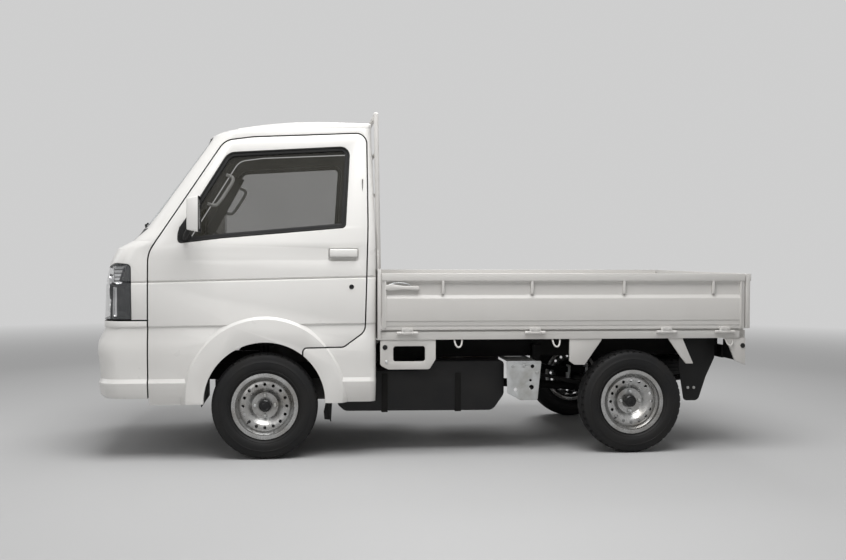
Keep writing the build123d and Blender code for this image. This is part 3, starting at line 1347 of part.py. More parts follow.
BACK_TOP = 1335.0
back_points = [
    (FRONT_AXLE_X - 425.0, CUSHION_TOP + SEAT_FIT, 20.0),
    (FRONT_AXLE_X - 320.0, CUSHION_TOP + SEAT_FIT, 30.0),
    (FRONT_AXLE_X - 438.0, 1130.0, 60.0),
    (FRONT_AXLE_X - 450.0, BACK_TOP, 26.0),
    (CAB_REAR_X + REAR_WALL + 14.0, BACK_TOP, 26.0),
    (CAB_REAR_X + REAR_WALL + 6.0, 1100.0, 60.0),
]
with BuildPart() as seat_backs:
    for side in (1, -1):
        y_pair = sorted((side * SEAT_Y - SEAT_WIDTH / 2, side * SEAT_Y + SEAT_WIDTH / 2))
        add(slab_xz(back_points, y_pair[0], y_pair[1]))
keep(seat_backs, "seat_backs")

# Door mirrors with their arms and triangular bases
MIRROR_CORNER = 20.0
MIRROR_ARM_R = 11.0
MIRROR_BASE_R = 24.0
MIRROR_BASE_Y = (HALF - 42.0, HALF - 24.0)
MIRROR_ROOT = (FRONT_AXLE_X + 392.0, HALF - 38.0, 1112.0)
MIRROR_GRIP = (FRONT_AXLE_X + MIRROR_X + 6.0, MIRROR_Y - 40.0, MIRROR_Z - 40.0)
with BuildPart() as left_mirror:
    with Locations((FRONT_AXLE_X + MIRROR_X, MIRROR_Y, MIRROR_Z)):
        Box(*MIRROR_SIZE)
    fillet(left_mirror.edges(), MIRROR_CORNER)
    add(rod(MIRROR_ROOT, MIRROR_GRIP, MIRROR_ARM_R))
    base_x, base_z = MIRROR_ROOT[0], MIRROR_ROOT[2]
    add(rod((base_x, MIRROR_BASE_Y[0], base_z), (base_x, MIRROR_BASE_Y[1], base_z), MIRROR_BASE_R))
    add(left_door.part, mode=Mode.SUBTRACT)
    add(left_door_glass.part, mode=Mode.SUBTRACT)
keep(left_mirror, "left_mirror")
with BuildPart() as right_mirror:
    mirror(left_mirror.part, about=Plane.XZ)
keep(right_mirror, "right_mirror")
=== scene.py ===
"""Looks of a kei truck with a drop-side bed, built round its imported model."""

import json
import logging
import math
from dataclasses import dataclass
from enum import Enum
from typing import Callable, Sequence

import bmesh
import bpy
from mathutils import Matrix, Vector
from mathutils.bvhtree import BVHTree

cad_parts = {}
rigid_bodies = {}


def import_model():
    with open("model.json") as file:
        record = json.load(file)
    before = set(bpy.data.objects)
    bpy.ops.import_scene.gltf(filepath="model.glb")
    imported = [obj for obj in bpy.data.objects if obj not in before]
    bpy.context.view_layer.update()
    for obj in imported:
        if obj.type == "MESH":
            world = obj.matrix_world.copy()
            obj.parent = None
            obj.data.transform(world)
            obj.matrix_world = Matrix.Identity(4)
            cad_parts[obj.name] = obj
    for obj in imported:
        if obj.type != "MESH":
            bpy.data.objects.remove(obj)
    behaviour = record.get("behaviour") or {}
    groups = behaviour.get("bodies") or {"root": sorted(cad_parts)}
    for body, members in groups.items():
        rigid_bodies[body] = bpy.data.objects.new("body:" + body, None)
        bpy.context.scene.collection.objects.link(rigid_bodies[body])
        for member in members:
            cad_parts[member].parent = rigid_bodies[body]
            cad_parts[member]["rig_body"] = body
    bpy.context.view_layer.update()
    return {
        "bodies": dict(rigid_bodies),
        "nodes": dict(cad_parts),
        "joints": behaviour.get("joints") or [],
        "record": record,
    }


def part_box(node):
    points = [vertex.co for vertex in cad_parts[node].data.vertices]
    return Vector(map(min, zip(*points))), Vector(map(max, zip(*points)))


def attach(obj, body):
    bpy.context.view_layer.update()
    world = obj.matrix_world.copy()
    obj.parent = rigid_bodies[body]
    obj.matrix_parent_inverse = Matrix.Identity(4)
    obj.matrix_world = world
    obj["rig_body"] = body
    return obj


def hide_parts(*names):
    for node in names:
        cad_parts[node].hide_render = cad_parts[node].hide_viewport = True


log = logging.getLogger("kei_truck")

Point = Sequence[float]
Span = tuple[float, float]
Colour = tuple[float, float, float]

SIDES = {"left": 1.0, "right": -1.0}
MERGE_DISTANCE = 0.00002
FLAT_ANGLE = math.radians(0.6)
SMOOTH_ANGLE = math.radians(32.0)
TREES: dict[str, BVHTree] = {}


class Body(str, Enum):
    """Bodies that are named here; a door's or a side gate's name is put together from its side."""

    TRUCK = "truck"
    TAIL_GATE = "tail_gate"


class Slot(str, Enum):
    """Material slots of the record that the pieces belong to."""

    BODY_PAINT = "body_paint"
    BED_PAINT = "bed_paint"
    BLACK_FRAME = "black_frame"
    BLACK_PLASTIC = "black_plastic"
    WHEEL_STEEL = "wheel_steel"
    TYRE_RUBBER = "tyre_rubber"
    CLEAR_GLASS = "clear_glass"
    LAMP_CLEAR = "lamp_clear"
    LAMP_RED = "lamp_red"
    GALVANISED = "galvanised"
    INTERIOR_PLASTIC = "interior_plastic"
    SEAT_CLOTH = "seat_cloth"


# Finishes, each with the slot that it mostly goes with
CAB = ("cab_paint", Slot.BODY_PAINT)
BED = ("bed_paint", Slot.BED_PAINT)
TRIM = ("black_trim", Slot.BLACK_PLASTIC)
GLOSS = ("gloss_black", Slot.BLACK_PLASTIC)
SEAL = ("seal_rubber", Slot.BLACK_PLASTIC)
DARK = ("cabin_dark", Slot.INTERIOR_PLASTIC)
ZINC = ("zinc", Slot.GALVANISED)
FRAME = ("frame_black", Slot.BLACK_FRAME)


class ShaderTree:
    """Node tree of one material, with short calls to add and join nodes."""

    def __init__(self, name: str) -> None:
        """Start an empty material with a Principled shader.

        Args:
            name: name of the material.
        """
        self.material = bpy.data.materials.new(name)
        self.material.use_nodes = True
        self.nodes = self.material.node_tree.nodes
        self.links = self.material.node_tree.links
        self.shader = self.nodes["Principled BSDF"]
        self.place = self.nodes.new("ShaderNodeTexCoord")

    def set(self, **values: object) -> None:
        """Set sockets of the Principled shader, named with underscores for spaces."""
        for name, value in values.items():
            self.shader.inputs[name.replace("_", " ")].default_value = value

    def spot(self, scale: Point) -> bpy.types.NodeSocket:
        """Object coordinates stretched along the axes.

        Args:
            scale: repeats per metre along X, Y and Z.

        Returns:
            The socket that carries the stretched place.
        """
        mapping = self.nodes.new("ShaderNodeMapping")
        mapping.inputs["Scale"].default_value = scale
        self.links.new(self.place.outputs["Object"], mapping.inputs["Vector"])
        return mapping.outputs["Vector"]

    def noise(self, scale: Point, detail: float = 4.0) -> bpy.types.NodeSocket:
        """Noise over the surface.

        Args:
            scale: repeats per metre along X, Y and Z.
            detail: octaves of the noise.

        Returns:
            The noise's value socket.
        """
        node = self.nodes.new("ShaderNodeTexNoise")
        node.inputs["Scale"].default_value = 1.0
        node.inputs["Detail"].default_value = detail
        self.links.new(self.spot(scale), node.inputs["Vector"])
        return node.outputs["Fac"]

    def wave(self, scale: Point, direction: str) -> bpy.types.NodeSocket:
        """Sine bands over the surface.

        Args:
            scale: repeats per metre along X, Y and Z.
            direction: X, Y or Z, the way across the bands.

        Returns:
            The bands' value socket.
        """
        node = self.nodes.new("ShaderNodeTexWave")
        node.bands_direction = direction
        node.inputs["Scale"].default_value = 1.0
        self.links.new(self.spot(scale), node.inputs["Vector"])
        return node.outputs["Fac"]

    def height(self, low: float, high: float) -> bpy.types.NodeSocket:
        """Share that falls from 1 at one height to 0 at another.

        Args:
            low: height of 1, in metres.
            high: height of 0, in metres.

        Returns:
            The share's socket.
        """
        split = self.nodes.new("ShaderNodeSeparateXYZ")
        self.links.new(self.place.outputs["Object"], split.inputs["Vector"])
        return self.fit(split.outputs["Z"], (low, high), (1.0, 0.0))

    def fit(
        self, value: bpy.types.NodeSocket, source: Point, target: Point
    ) -> bpy.types.NodeSocket:
        """Map a value from one range to another, clamped.

        Args:
            value: socket to map.
            source: lowest and highest value taken.
            target: value given at each of them.

        Returns:
            The mapped socket.
        """
        node = self.nodes.new("ShaderNodeMapRange")
        self.links.new(value, node.inputs["Value"])
        for name, number in zip(("From Min", "From Max", "To Min", "To Max"), (*source, *target)):
            node.inputs[name].default_value = number
        return node.outputs["Result"]

    def times(
        self, first: bpy.types.NodeSocket, second: bpy.types.NodeSocket
    ) -> bpy.types.NodeSocket:
        """Product of two values."""
        node = self.nodes.new("ShaderNodeMath")
        node.operation = "MULTIPLY"
        self.links.new(first, node.inputs[0])
        self.links.new(second, node.inputs[1])
        return node.outputs["Value"]

    def blend(
        self, share: bpy.types.NodeSocket, first: Colour, second: Colour
    ) -> bpy.types.NodeSocket:
        """Mix two colours.

        Args:
            share: share of the second colour.
            first: colour at 0.
            second: colour at 1.

        Returns:
            The mixed colour's socket.
        """
        node = self.nodes.new("ShaderNodeMix")
        node.data_type = "RGBA"
        node.inputs["A"].default_value = (*first, 1.0)
        node.inputs["B"].default_value = (*second, 1.0)
        self.links.new(share, node.inputs["Factor"])
        return node.outputs["Result"]

    def bump(self, value: bpy.types.NodeSocket, depth: float, strength: float = 1.0) -> None:
        """Raise the surface by a value.

        Args:
            value: height from 0 to 1.
            depth: height of 1, in metres.
            strength: share of the effect.
        """
        node = self.nodes.new("ShaderNodeBump")
        node.inputs["Distance"].default_value = depth
        node.inputs["Strength"].default_value = strength
        self.links.new(value, node.inputs["Height"])
        self.links.new(node.outputs["Normal"], self.shader.inputs["Normal"])

    def feed(self, value: bpy.types.NodeSocket, name: str) -> None:
        """Join a socket to an input of the Principled shader."""
        self.links.new(value, self.shader.inputs[name])


@dataclass(frozen=True)
class PaintFinish:
    """Enamel over pressed steel, with road dust and painted shade that thin out upwards."""

    name: str
    colour: Colour
    dust: Colour
    gloss: float = 0.32
    coat: float = 0.35
    dusty: float = 0.3
    dust_top: float = 1.0
    shine: float = 0.5

    def build(self) -> bpy.types.Material:
        """Make the material."""
        tree = ShaderTree(self.name)
        tree.set(Coat_Weight=self.coat, Coat_Roughness=0.08, IOR=1.5, Specular_IOR_Level=self.shine)
        blotch = tree.fit(tree.noise((3.5, 3.5, 2.0), 6.0), (0.35, 0.75), (0.15, 1.0))
        # Painted shade with road dust: below the top height the colour is pulled towards the dust colour,
        # more the nearer the ground
        low = tree.fit(tree.height(0.25, self.dust_top), (0.0, 1.0), (0.04, self.dusty))
        tree.feed(tree.blend(tree.times(blotch, low), self.colour, self.dust), "Base Color")
        tree.feed(
            tree.fit(tree.noise((9.0, 9.0, 9.0)), (0.3, 0.7), (self.gloss - 0.05, self.gloss + 0.08)),
            "Roughness",
        )
        tree.bump(tree.noise((260.0, 260.0, 260.0), 2.0), 0.00004, 0.35)
        return tree.material


@dataclass(frozen=True)
class PlasticFinish:
    """Moulded plastic or rubber with a fine grain."""

    name: str
    colour: Colour
    worn: Colour
    rough: float = 0.5
    grain: float = 900.0
    depth: float = 0.0001

    def build(self) -> bpy.types.Material:
        """Make the material."""
        tree = ShaderTree(self.name)
        tree.set(IOR=1.46, Specular_IOR_Level=0.32)
        haze = tree.fit(tree.noise((7.0, 7.0, 7.0), 6.0), (0.4, 0.75), (0.0, 1.0))
        tree.feed(tree.blend(haze, self.colour, self.worn), "Base Color")
        tree.feed(
            tree.fit(tree.noise((14.0, 14.0, 14.0)), (0.3, 0.7), (self.rough - 0.06, self.rough + 0.1)),
            "Roughness",
        )
        tree.bump(tree.noise((self.grain, self.grain, self.grain), 2.0), self.depth, 0.6)
        return tree.material


@dataclass(frozen=True)
class MetalFinish:
    """Bare, plated or silver-painted metal with faint streaks."""

    name: str
    colour: Colour
    stain: Colour
    rough: float = 0.35
    metallic: float = 0.9
    streak: tuple[float, float, float] = (60.0, 60.0, 60.0)

    def build(self) -> bpy.types.Material:
        """Make the material."""
        tree = ShaderTree(self.name)
        tree.set(Metallic=self.metallic)
        mottle = tree.fit(tree.noise((11.0, 11.0, 11.0), 7.0), (0.45, 0.8), (0.0, 1.0))
        tree.feed(tree.blend(mottle, self.colour, self.stain), "Base Color")
        tree.feed(
            tree.fit(tree.noise(self.streak), (0.3, 0.7), (self.rough - 0.08, self.rough + 0.12)),
            "Roughness",
        )
        tree.bump(tree.noise((420.0, 420.0, 420.0), 2.0), 0.00005, 0.4)
        return tree.material


@dataclass(frozen=True)
class GlassFinish:
    """Thin glass or clear plastic that shows what is behind it."""

    name: str
    tint: Colour
    solid: float = 0.3
    rough: float = 0.04
    ribs: float = 0.0

    def build(self) -> bpy.types.Material:
        """Make the material."""
        tree = ShaderTree(self.name)
        tree.set(IOR=1.5, Coat_Weight=1.0, Coat_Roughness=0.02, Alpha=self.solid)
        film = tree.fit(tree.noise((5.0, 5.0, 5.0), 5.0), (0.4, 0.8), (0.0, 1.0))
        hazy = tuple(min(1.0, part + 0.03) for part in self.tint)
        tree.feed(tree.blend(film, self.tint, hazy), "Base Color")
        tree.feed(tree.fit(film, (0.0, 1.0), (self.rough, self.rough + 0.05)), "Roughness")
        if self.ribs:
            tree.bump(tree.wave((0.0, self.ribs, 0.0), "Y"), 0.0008, 0.5)
        return tree.material


@dataclass(frozen=True)
class ClothFinish:
    """Woven seat cloth with crossing threads."""

    name: str
    colour: Colour
    thread: Colour
    threads: float = 260.0

    def build(self) -> bpy.types.Material:
        """Make the material."""
        tree = ShaderTree(self.name)
        tree.set(Roughness=0.9, Sheen_Weight=0.25, IOR=1.4)
        across = tree.wave((0.0, self.threads, 0.0), "Y")
        along = tree.wave((self.threads, 0.0, self.threads), "DIAGONAL")
        weave = tree.times(across, along)
        fleck = tree.fit(tree.noise((180.0, 180.0, 180.0), 3.0), (0.4, 0.65), (0.0, 1.0))
        tree.feed(tree.blend(fleck, self.colour, self.thread), "Base Color")
        tree.bump(weave, 0.0006, 0.7)
        return tree.material


FINISHES = {
    # Cab paint darkens towards the ground up to 0.85 m: road dust and painted shade
    "cab_paint": PaintFinish("cab_paint", (0.76, 0.748, 0.725), (0.50, 0.47, 0.43), dust_top=0.85),
    "bed_paint": PaintFinish(
        "bed_paint", (0.62, 0.605, 0.582), (0.40, 0.375, 0.34), gloss=0.4, coat=0.15, dusty=0.35
    ),
    "frame_black": PaintFinish(
        "frame_black",
        (0.005, 0.005, 0.005),
        (0.020, 0.018, 0.016),
        gloss=0.6,
        coat=0.0,
        dusty=0.4,
        shine=0.14,
    ),
    "black_trim": PlasticFinish("black_trim", (0.008, 0.008, 0.0085), (0.015, 0.0145, 0.014)),
    "gloss_black": PlasticFinish(
        "gloss_black", (0.01, 0.01, 0.011), (0.016, 0.016, 0.016), 0.2, 300.0, 0.00002
    ),
    "seal_rubber": PlasticFinish("seal_rubber", (0.012, 0.012, 0.012), (0.03, 0.03, 0.028), 0.65),
    "tyre_rubber": PlasticFinish(
        "tyre_rubber", (0.0065, 0.0065, 0.007), (0.014, 0.013, 0.012), 0.6, 600.0, 0.0002
    ),
    "cabin_grey": PlasticFinish(
        "cabin_grey", (0.11, 0.108, 0.104), (0.14, 0.136, 0.13), 0.6, 1200.0, 0.00015
    ),
    "cabin_dark": PlasticFinish(
        "cabin_dark", (0.035, 0.035, 0.036), (0.05, 0.049, 0.048), 0.55, 1100.0, 0.00015
    ),
    "lining": PlasticFinish("lining", (0.30, 0.29, 0.27), (0.34, 0.33, 0.31), 0.8, 500.0, 0.0003),
    "grip_grey": PlasticFinish("grip_grey", (0.80, 0.80, 0.78), (0.68, 0.68, 0.66), 0.45),
    "plate_white": PlasticFinish("plate_white", (0.62, 0.62, 0.60), (0.5, 0.49, 0.46), 0.4, 200.0, 0.00003),
    "wheel_silver": MetalFinish("wheel_silver", (0.42, 0.42, 0.415), (0.25, 0.235, 0.215), 0.3, 0.9),
    "zinc": MetalFinish("zinc", (0.55, 0.56, 0.56), (0.34, 0.33, 0.30), 0.42, 0.75),
    "bright": MetalFinish("bright", (0.82, 0.82, 0.83), (0.62, 0.62, 0.62), 0.12, 1.0),
    "mirror_silver": MetalFinish("mirror_silver", (0.9, 0.9, 0.9), (0.85, 0.85, 0.85), 0.1, 1.0),
    "cast": MetalFinish("cast", (0.10, 0.098, 0.095), (0.06, 0.045, 0.035), 0.62, 0.6),
    "exhaust": MetalFinish("exhaust", (0.30, 0.28, 0.26), (0.15, 0.09, 0.06), 0.5, 0.8),
    "window_glass": GlassFinish("window_glass", (0.034, 0.031, 0.021), 0.30),
    "screen_glass": GlassFinish("screen_glass", (0.13, 0.42, 0.47), 0.42),
    "lens_clear": GlassFinish("lens_clear", (0.30, 0.31, 0.32), 0.10, 0.03),
    "lens_red": GlassFinish("lens_red", (0.42, 0.012, 0.012), 0.85, 0.12, 40.0),
    "lens_amber": GlassFinish("lens_amber", (0.75, 0.22, 0.02), 0.85, 0.12, 40.0),
    "lens_white": GlassFinish("lens_white", (0.62, 0.62, 0.62), 0.8, 0.12, 40.0),
    "seat_cloth": ClothFinish("seat_cloth", (0.105, 0.103, 0.10), (0.17, 0.166, 0.16)),
}


class Palette:
    """Materials of the truck, made once when first asked for."""

    def __init__(self) -> None:
        """Start with nothing made."""
        self.made: dict[str, bpy.types.Material] = {}

    def __getitem__(self, name: str) -> bpy.types.Material:
        """Material of a finish.

        Args:
            name: name of the finish.

        Returns:
            The material.
        """
        if name not in self.made:
            self.made[name] = FINISHES[name].build()
        return self.made[name]


def deselect() -> None:
    """Clear the selection, so that an operator acts on new geometry only."""
    bpy.ops.object.select_all(action="DESELECT")


def choose(piece: bpy.types.Object) -> None:
    """Make one piece the active and only selected object."""
    deselect()
    piece.select_set(True)
    bpy.context.view_layer.objects.active = piece


def settle(piece: bpy.types.Object) -> None:
    """Move a piece's place, turn and scale into its mesh."""
    choose(piece)
    bpy.ops.object.transform_apply(location=True, rotation=True, scale=True)


def box(name: str, low: Point, high: Point) -> bpy.types.Object:
    """Add a block between two corners.

    Args:
        name: name of the piece.
        low: lowest corner.
        high: highest corner.

    Returns:
        The new piece, with its place in its mesh.
    """
    deselect()
    middle = (Vector(low) + Vector(high)) / 2
    bpy.ops.mesh.primitive_cube_add(size=1.0, location=middle, scale=Vector(high) - Vector(low))
    piece = bpy.context.object
    piece.name = name
    settle(piece)
    return piece


def block(name: str, along: Span, across: Span, height: Span, sign: float = 1.0) -> bpy.types.Object:
    """Add a block given by its edges, on either side of the truck.

    Args:
        name: name of the piece.
        along: its rear and front edge.
        across: its two edges on the left side of the truck.
        height: its lower and upper edge.
        sign: 1 for the left side and -1 for its mirror image on the right.

    Returns:
        The new piece.
    """
    right, left = sorted(sign * edge for edge in across)
    return box(name, (along[0], right, height[0]), (along[1], left, height[1]))


def rod(name: str, start: Point, end: Point, radius: float, sides: int = 20) -> bpy.types.Object:
    """Add a round bar between two points.

    Args:
        name: name of the piece.
        start: middle of one end.
        end: middle of the other end.
        radius: radius of the bar.
        sides: faces round it.

    Returns:
        The new piece, with its place in its mesh.
    """
    deselect()
    line = Vector(end) - Vector(start)
    turn = line.to_track_quat("Z", "Y").to_euler()
    middle = (Vector(start) + Vector(end)) / 2
    bpy.ops.mesh.primitive_cylinder_add(
        vertices=sides, radius=radius, depth=line.length, location=middle, rotation=turn
    )
    piece = bpy.context.object
    piece.name = name
    settle(piece)
    return piece


def select_faces(piece: bpy.types.Object, wanted: Callable[[bmesh.types.BMFace], bool]) -> int:
    """Open a piece in edit mode with only some faces selected.

    Args:
        piece: piece to open.
        wanted: test that a face has to pass.

    Returns:
        The number of faces selected.
    """
    choose(piece)
    bpy.ops.object.mode_set(mode="EDIT")
    bpy.ops.mesh.select_mode(type="FACE")
    bpy.ops.mesh.select_all(action="DESELECT")
    mesh = bmesh.from_edit_mesh(piece.data)
    count = 0
    for face in mesh.faces:
        if wanted(face):
            face.select_set(True)
            count += 1
    bmesh.update_edit_mesh(piece.data)
    return count


def close_edit() -> None:
    """Leave edit mode."""
    bpy.ops.object.mode_set(mode="OBJECT")


def facing(direction: Point, least: float = 0.8) -> Callable[[bmesh.types.BMFace], bool]:
    """Test for faces that look one way.

    Args:
        direction: the way they look.
        least: least cosine between the face's normal and that way.

    Returns:
        The test.
    """
    way = Vector(direction).normalized()
    return lambda face: face.normal.dot(way) > least


def press(
    piece: bpy.types.Object, direction: Point, margin: float, depth: float, least: float = 0.8
) -> bpy.types.Object:
    """Inset the faces that look one way and push them in or out.

    Args:
        piece: piece to shape.
        direction: the way the faces look.
        margin: width of the rim that is left.
        depth: height of the pressed field, negative for a hollow.
        least: least cosine between a face's normal and that way.

    Returns:
        The same piece.
    """
    if select_faces(piece, facing(direction, least)):
        bpy.ops.mesh.inset(thickness=margin, depth=depth)
    close_edit()
    return piece


def modify(piece: bpy.types.Object, kind: str, **values: object) -> bpy.types.Object:
    """Add a modifier and apply it.

    Args:
        piece: piece to change.
        kind: type of the modifier.
        values: settings of the modifier.

    Returns:
        The same piece.
    """
    choose(piece)
    modifier = piece.modifiers.new(kind.title(), kind)
    for name, value in values.items():
        setattr(modifier, name, value)
    bpy.ops.object.modifier_apply(modifier=modifier.name)
    return piece


def round_off(piece: bpy.types.Object, width: float, segments: int = 2) -> bpy.types.Object:
    """Round the hard edges of a piece and smooth its shading.

    Args:
        piece: piece to round.
        width: width of the rounding.
        segments: faces across it.

    Returns:
        The same piece.
    """
    modify(
        piece, "BEVEL", width=width, segments=segments, limit_method="ANGLE", angle_limit=SMOOTH_ANGLE
    )
    choose(piece)
    bpy.ops.object.shade_smooth_by_angle(angle=SMOOTH_ANGLE)
    return piece


def trace(name: str, points: Sequence[Point]) -> bpy.types.Object:
    """Chain of vertices through points, drawn by extruding from the first.

    Args:
        name: name of the piece.
        points: corners of the chain, in order.

    Returns:
        The new piece, left in edit mode with its last vertex selected.
    """
    deselect()
    bpy.ops.mesh.primitive_plane_add(size=0.001, location=(0.0, 0.0, 0.0))
    piece = bpy.context.object
    piece.name = name
    bpy.ops.object.mode_set(mode="EDIT")
    bpy.ops.mesh.select_mode(type="VERT")
    bpy.ops.mesh.select_all(action="SELECT")
    bpy.ops.mesh.merge(type="CENTER")
    bpy.ops.transform.translate(value=Vector(points[0]))
    for start, end in zip(points, points[1:]):
        step = Vector(end) - Vector(start)
        bpy.ops.mesh.extrude_vertices_move(TRANSFORM_OT_translate={"value": step})
    return piece


def lathe(
    name: str,
    profile: Sequence[tuple[float, float]],
    origin: Point,
    axis: Point,
    steps: int = 48,
    closed: bool = False,
) -> bpy.types.Object:
    """Turn a profile round an axis.

    Args:
        name: name of the piece.
        profile: pairs of distance along the axis and radius.
        origin: point on the axis where the distance is 0.
        axis: direction of the axis.
        steps: faces round the axis.
        closed: whether the profile's ends are joined.

    Returns:
        The new piece, with its place in its mesh.
    """
    corners = [(radius, 0.0, along) for along, radius in profile]
    if closed:
        corners.append(corners[0])
    piece = trace(name, corners)
    bpy.ops.mesh.select_all(action="SELECT")
    bpy.ops.mesh.spin(steps=steps, angle=math.tau, center=(0.0, 0.0, 0.0), axis=(0.0, 0.0, 1.0))
    bpy.ops.mesh.select_all(action="SELECT")
    bpy.ops.mesh.remove_doubles(threshold=MERGE_DISTANCE)
    bpy.ops.mesh.normals_make_consistent(inside=False)
    close_edit()
    turn = Vector(axis).to_track_quat("Z", "Y").to_matrix().to_4x4()
    piece.matrix_world = Matrix.Translation(Vector(origin)) @ turn
    settle(piece)
    bpy.ops.object.shade_smooth_by_angle(angle=SMOOTH_ANGLE)
    return piece


def plate(name: str, outline: Sequence[Point], thickness: Point) -> bpy.types.Object:
    """Flat plate from an outline.

    Args:
        name: name of the piece.
        outline: corners of one face, in order.
        thickness: offset of the other face.

    Returns:
        The new piece.
    """
    piece = trace(name, [*outline, outline[0]])
    bpy.ops.mesh.select_all(action="SELECT")
    bpy.ops.mesh.remove_doubles(threshold=MERGE_DISTANCE)
    bpy.ops.mesh.select_all(action="SELECT")
    bpy.ops.mesh.edge_face_add()
    bpy.ops.mesh.extrude_region_move(TRANSFORM_OT_translate={"value": Vector(thickness)})
    bpy.ops.mesh.select_all(action="SELECT")
    bpy.ops.mesh.normals_make_consistent(inside=False)
    close_edit()
    return piece


def tube(name: str, points: Sequence[Point], radius: float, sides: int = 4) -> bpy.types.Object:
    """Bent round bar along a smooth line.

    Args:
        name: name of the piece.
        points: points that steer the line.
        radius: radius of the bar.
        sides: resolution of its section.

    Returns:
        The new piece as a mesh.
    """
    curve = bpy.data.curves.new(name, "CURVE")
    curve.dimensions = "3D"
    curve.bevel_depth = radius
    curve.bevel_resolution = sides
    curve.use_fill_caps = True
    spline = curve.splines.new("NURBS")
    spline.points.add(len(points) - 1)
    for place, point in zip(spline.points, points):
        place.co = (*point, 1.0)
    spline.order_u = 3
    spline.use_endpoint_u = True
    spline.resolution_u = 8
    piece = bpy.data.objects.new(name, curve)
    bpy.context.scene.collection.objects.link(piece)
    choose(piece)
    bpy.ops.object.convert(target="MESH")
    bpy.ops.object.shade_smooth_by_angle(angle=SMOOTH_ANGLE)
    return piece


def join(name: str, pieces: Sequence[bpy.types.Object]) -> bpy.types.Object:
    """Join meshes into one piece.

    Args:
        name: name of the joined piece.
        pieces: meshes to join.

    Returns:
        The joined piece.
    """
    choose(pieces[0])
    for piece in pieces:
        piece.select_set(True)
    bpy.ops.object.join()
    pieces[0].name = name
    return pieces[0]


def copied(piece: bpy.types.Object, name: str, shift: Point) -> bpy.types.Object:
    """Copy of a piece with its own mesh, moved.

    Args:
        piece: piece to copy.
        name: name of the copy.
        shift: how far the copy lies from the piece.

    Returns:
        The copy.
    """
    twin = piece.copy()
    twin.data = piece.data.copy()
    twin.name = name
    bpy.context.scene.collection.objects.link(twin)
    twin.data.transform(Matrix.Translation(Vector(shift)))
    return twin


def mirrored(piece: bpy.types.Object, name: str) -> bpy.types.Object:
    """Copy of a piece on the other side of the truck.

    Args:
        piece: piece to copy.
        name: name of the copy.

    Returns:
        The copy.
    """
    twin = copied(piece, name, (0.0, 0.0, 0.0))
    twin.data.transform(Matrix.Scale(-1.0, 4, (0.0, 1.0, 0.0)))
    choose(twin)
    bpy.ops.object.mode_set(mode="EDIT")
    bpy.ops.mesh.select_all(action="SELECT")
    bpy.ops.mesh.flip_normals()
    close_edit()
    return twin


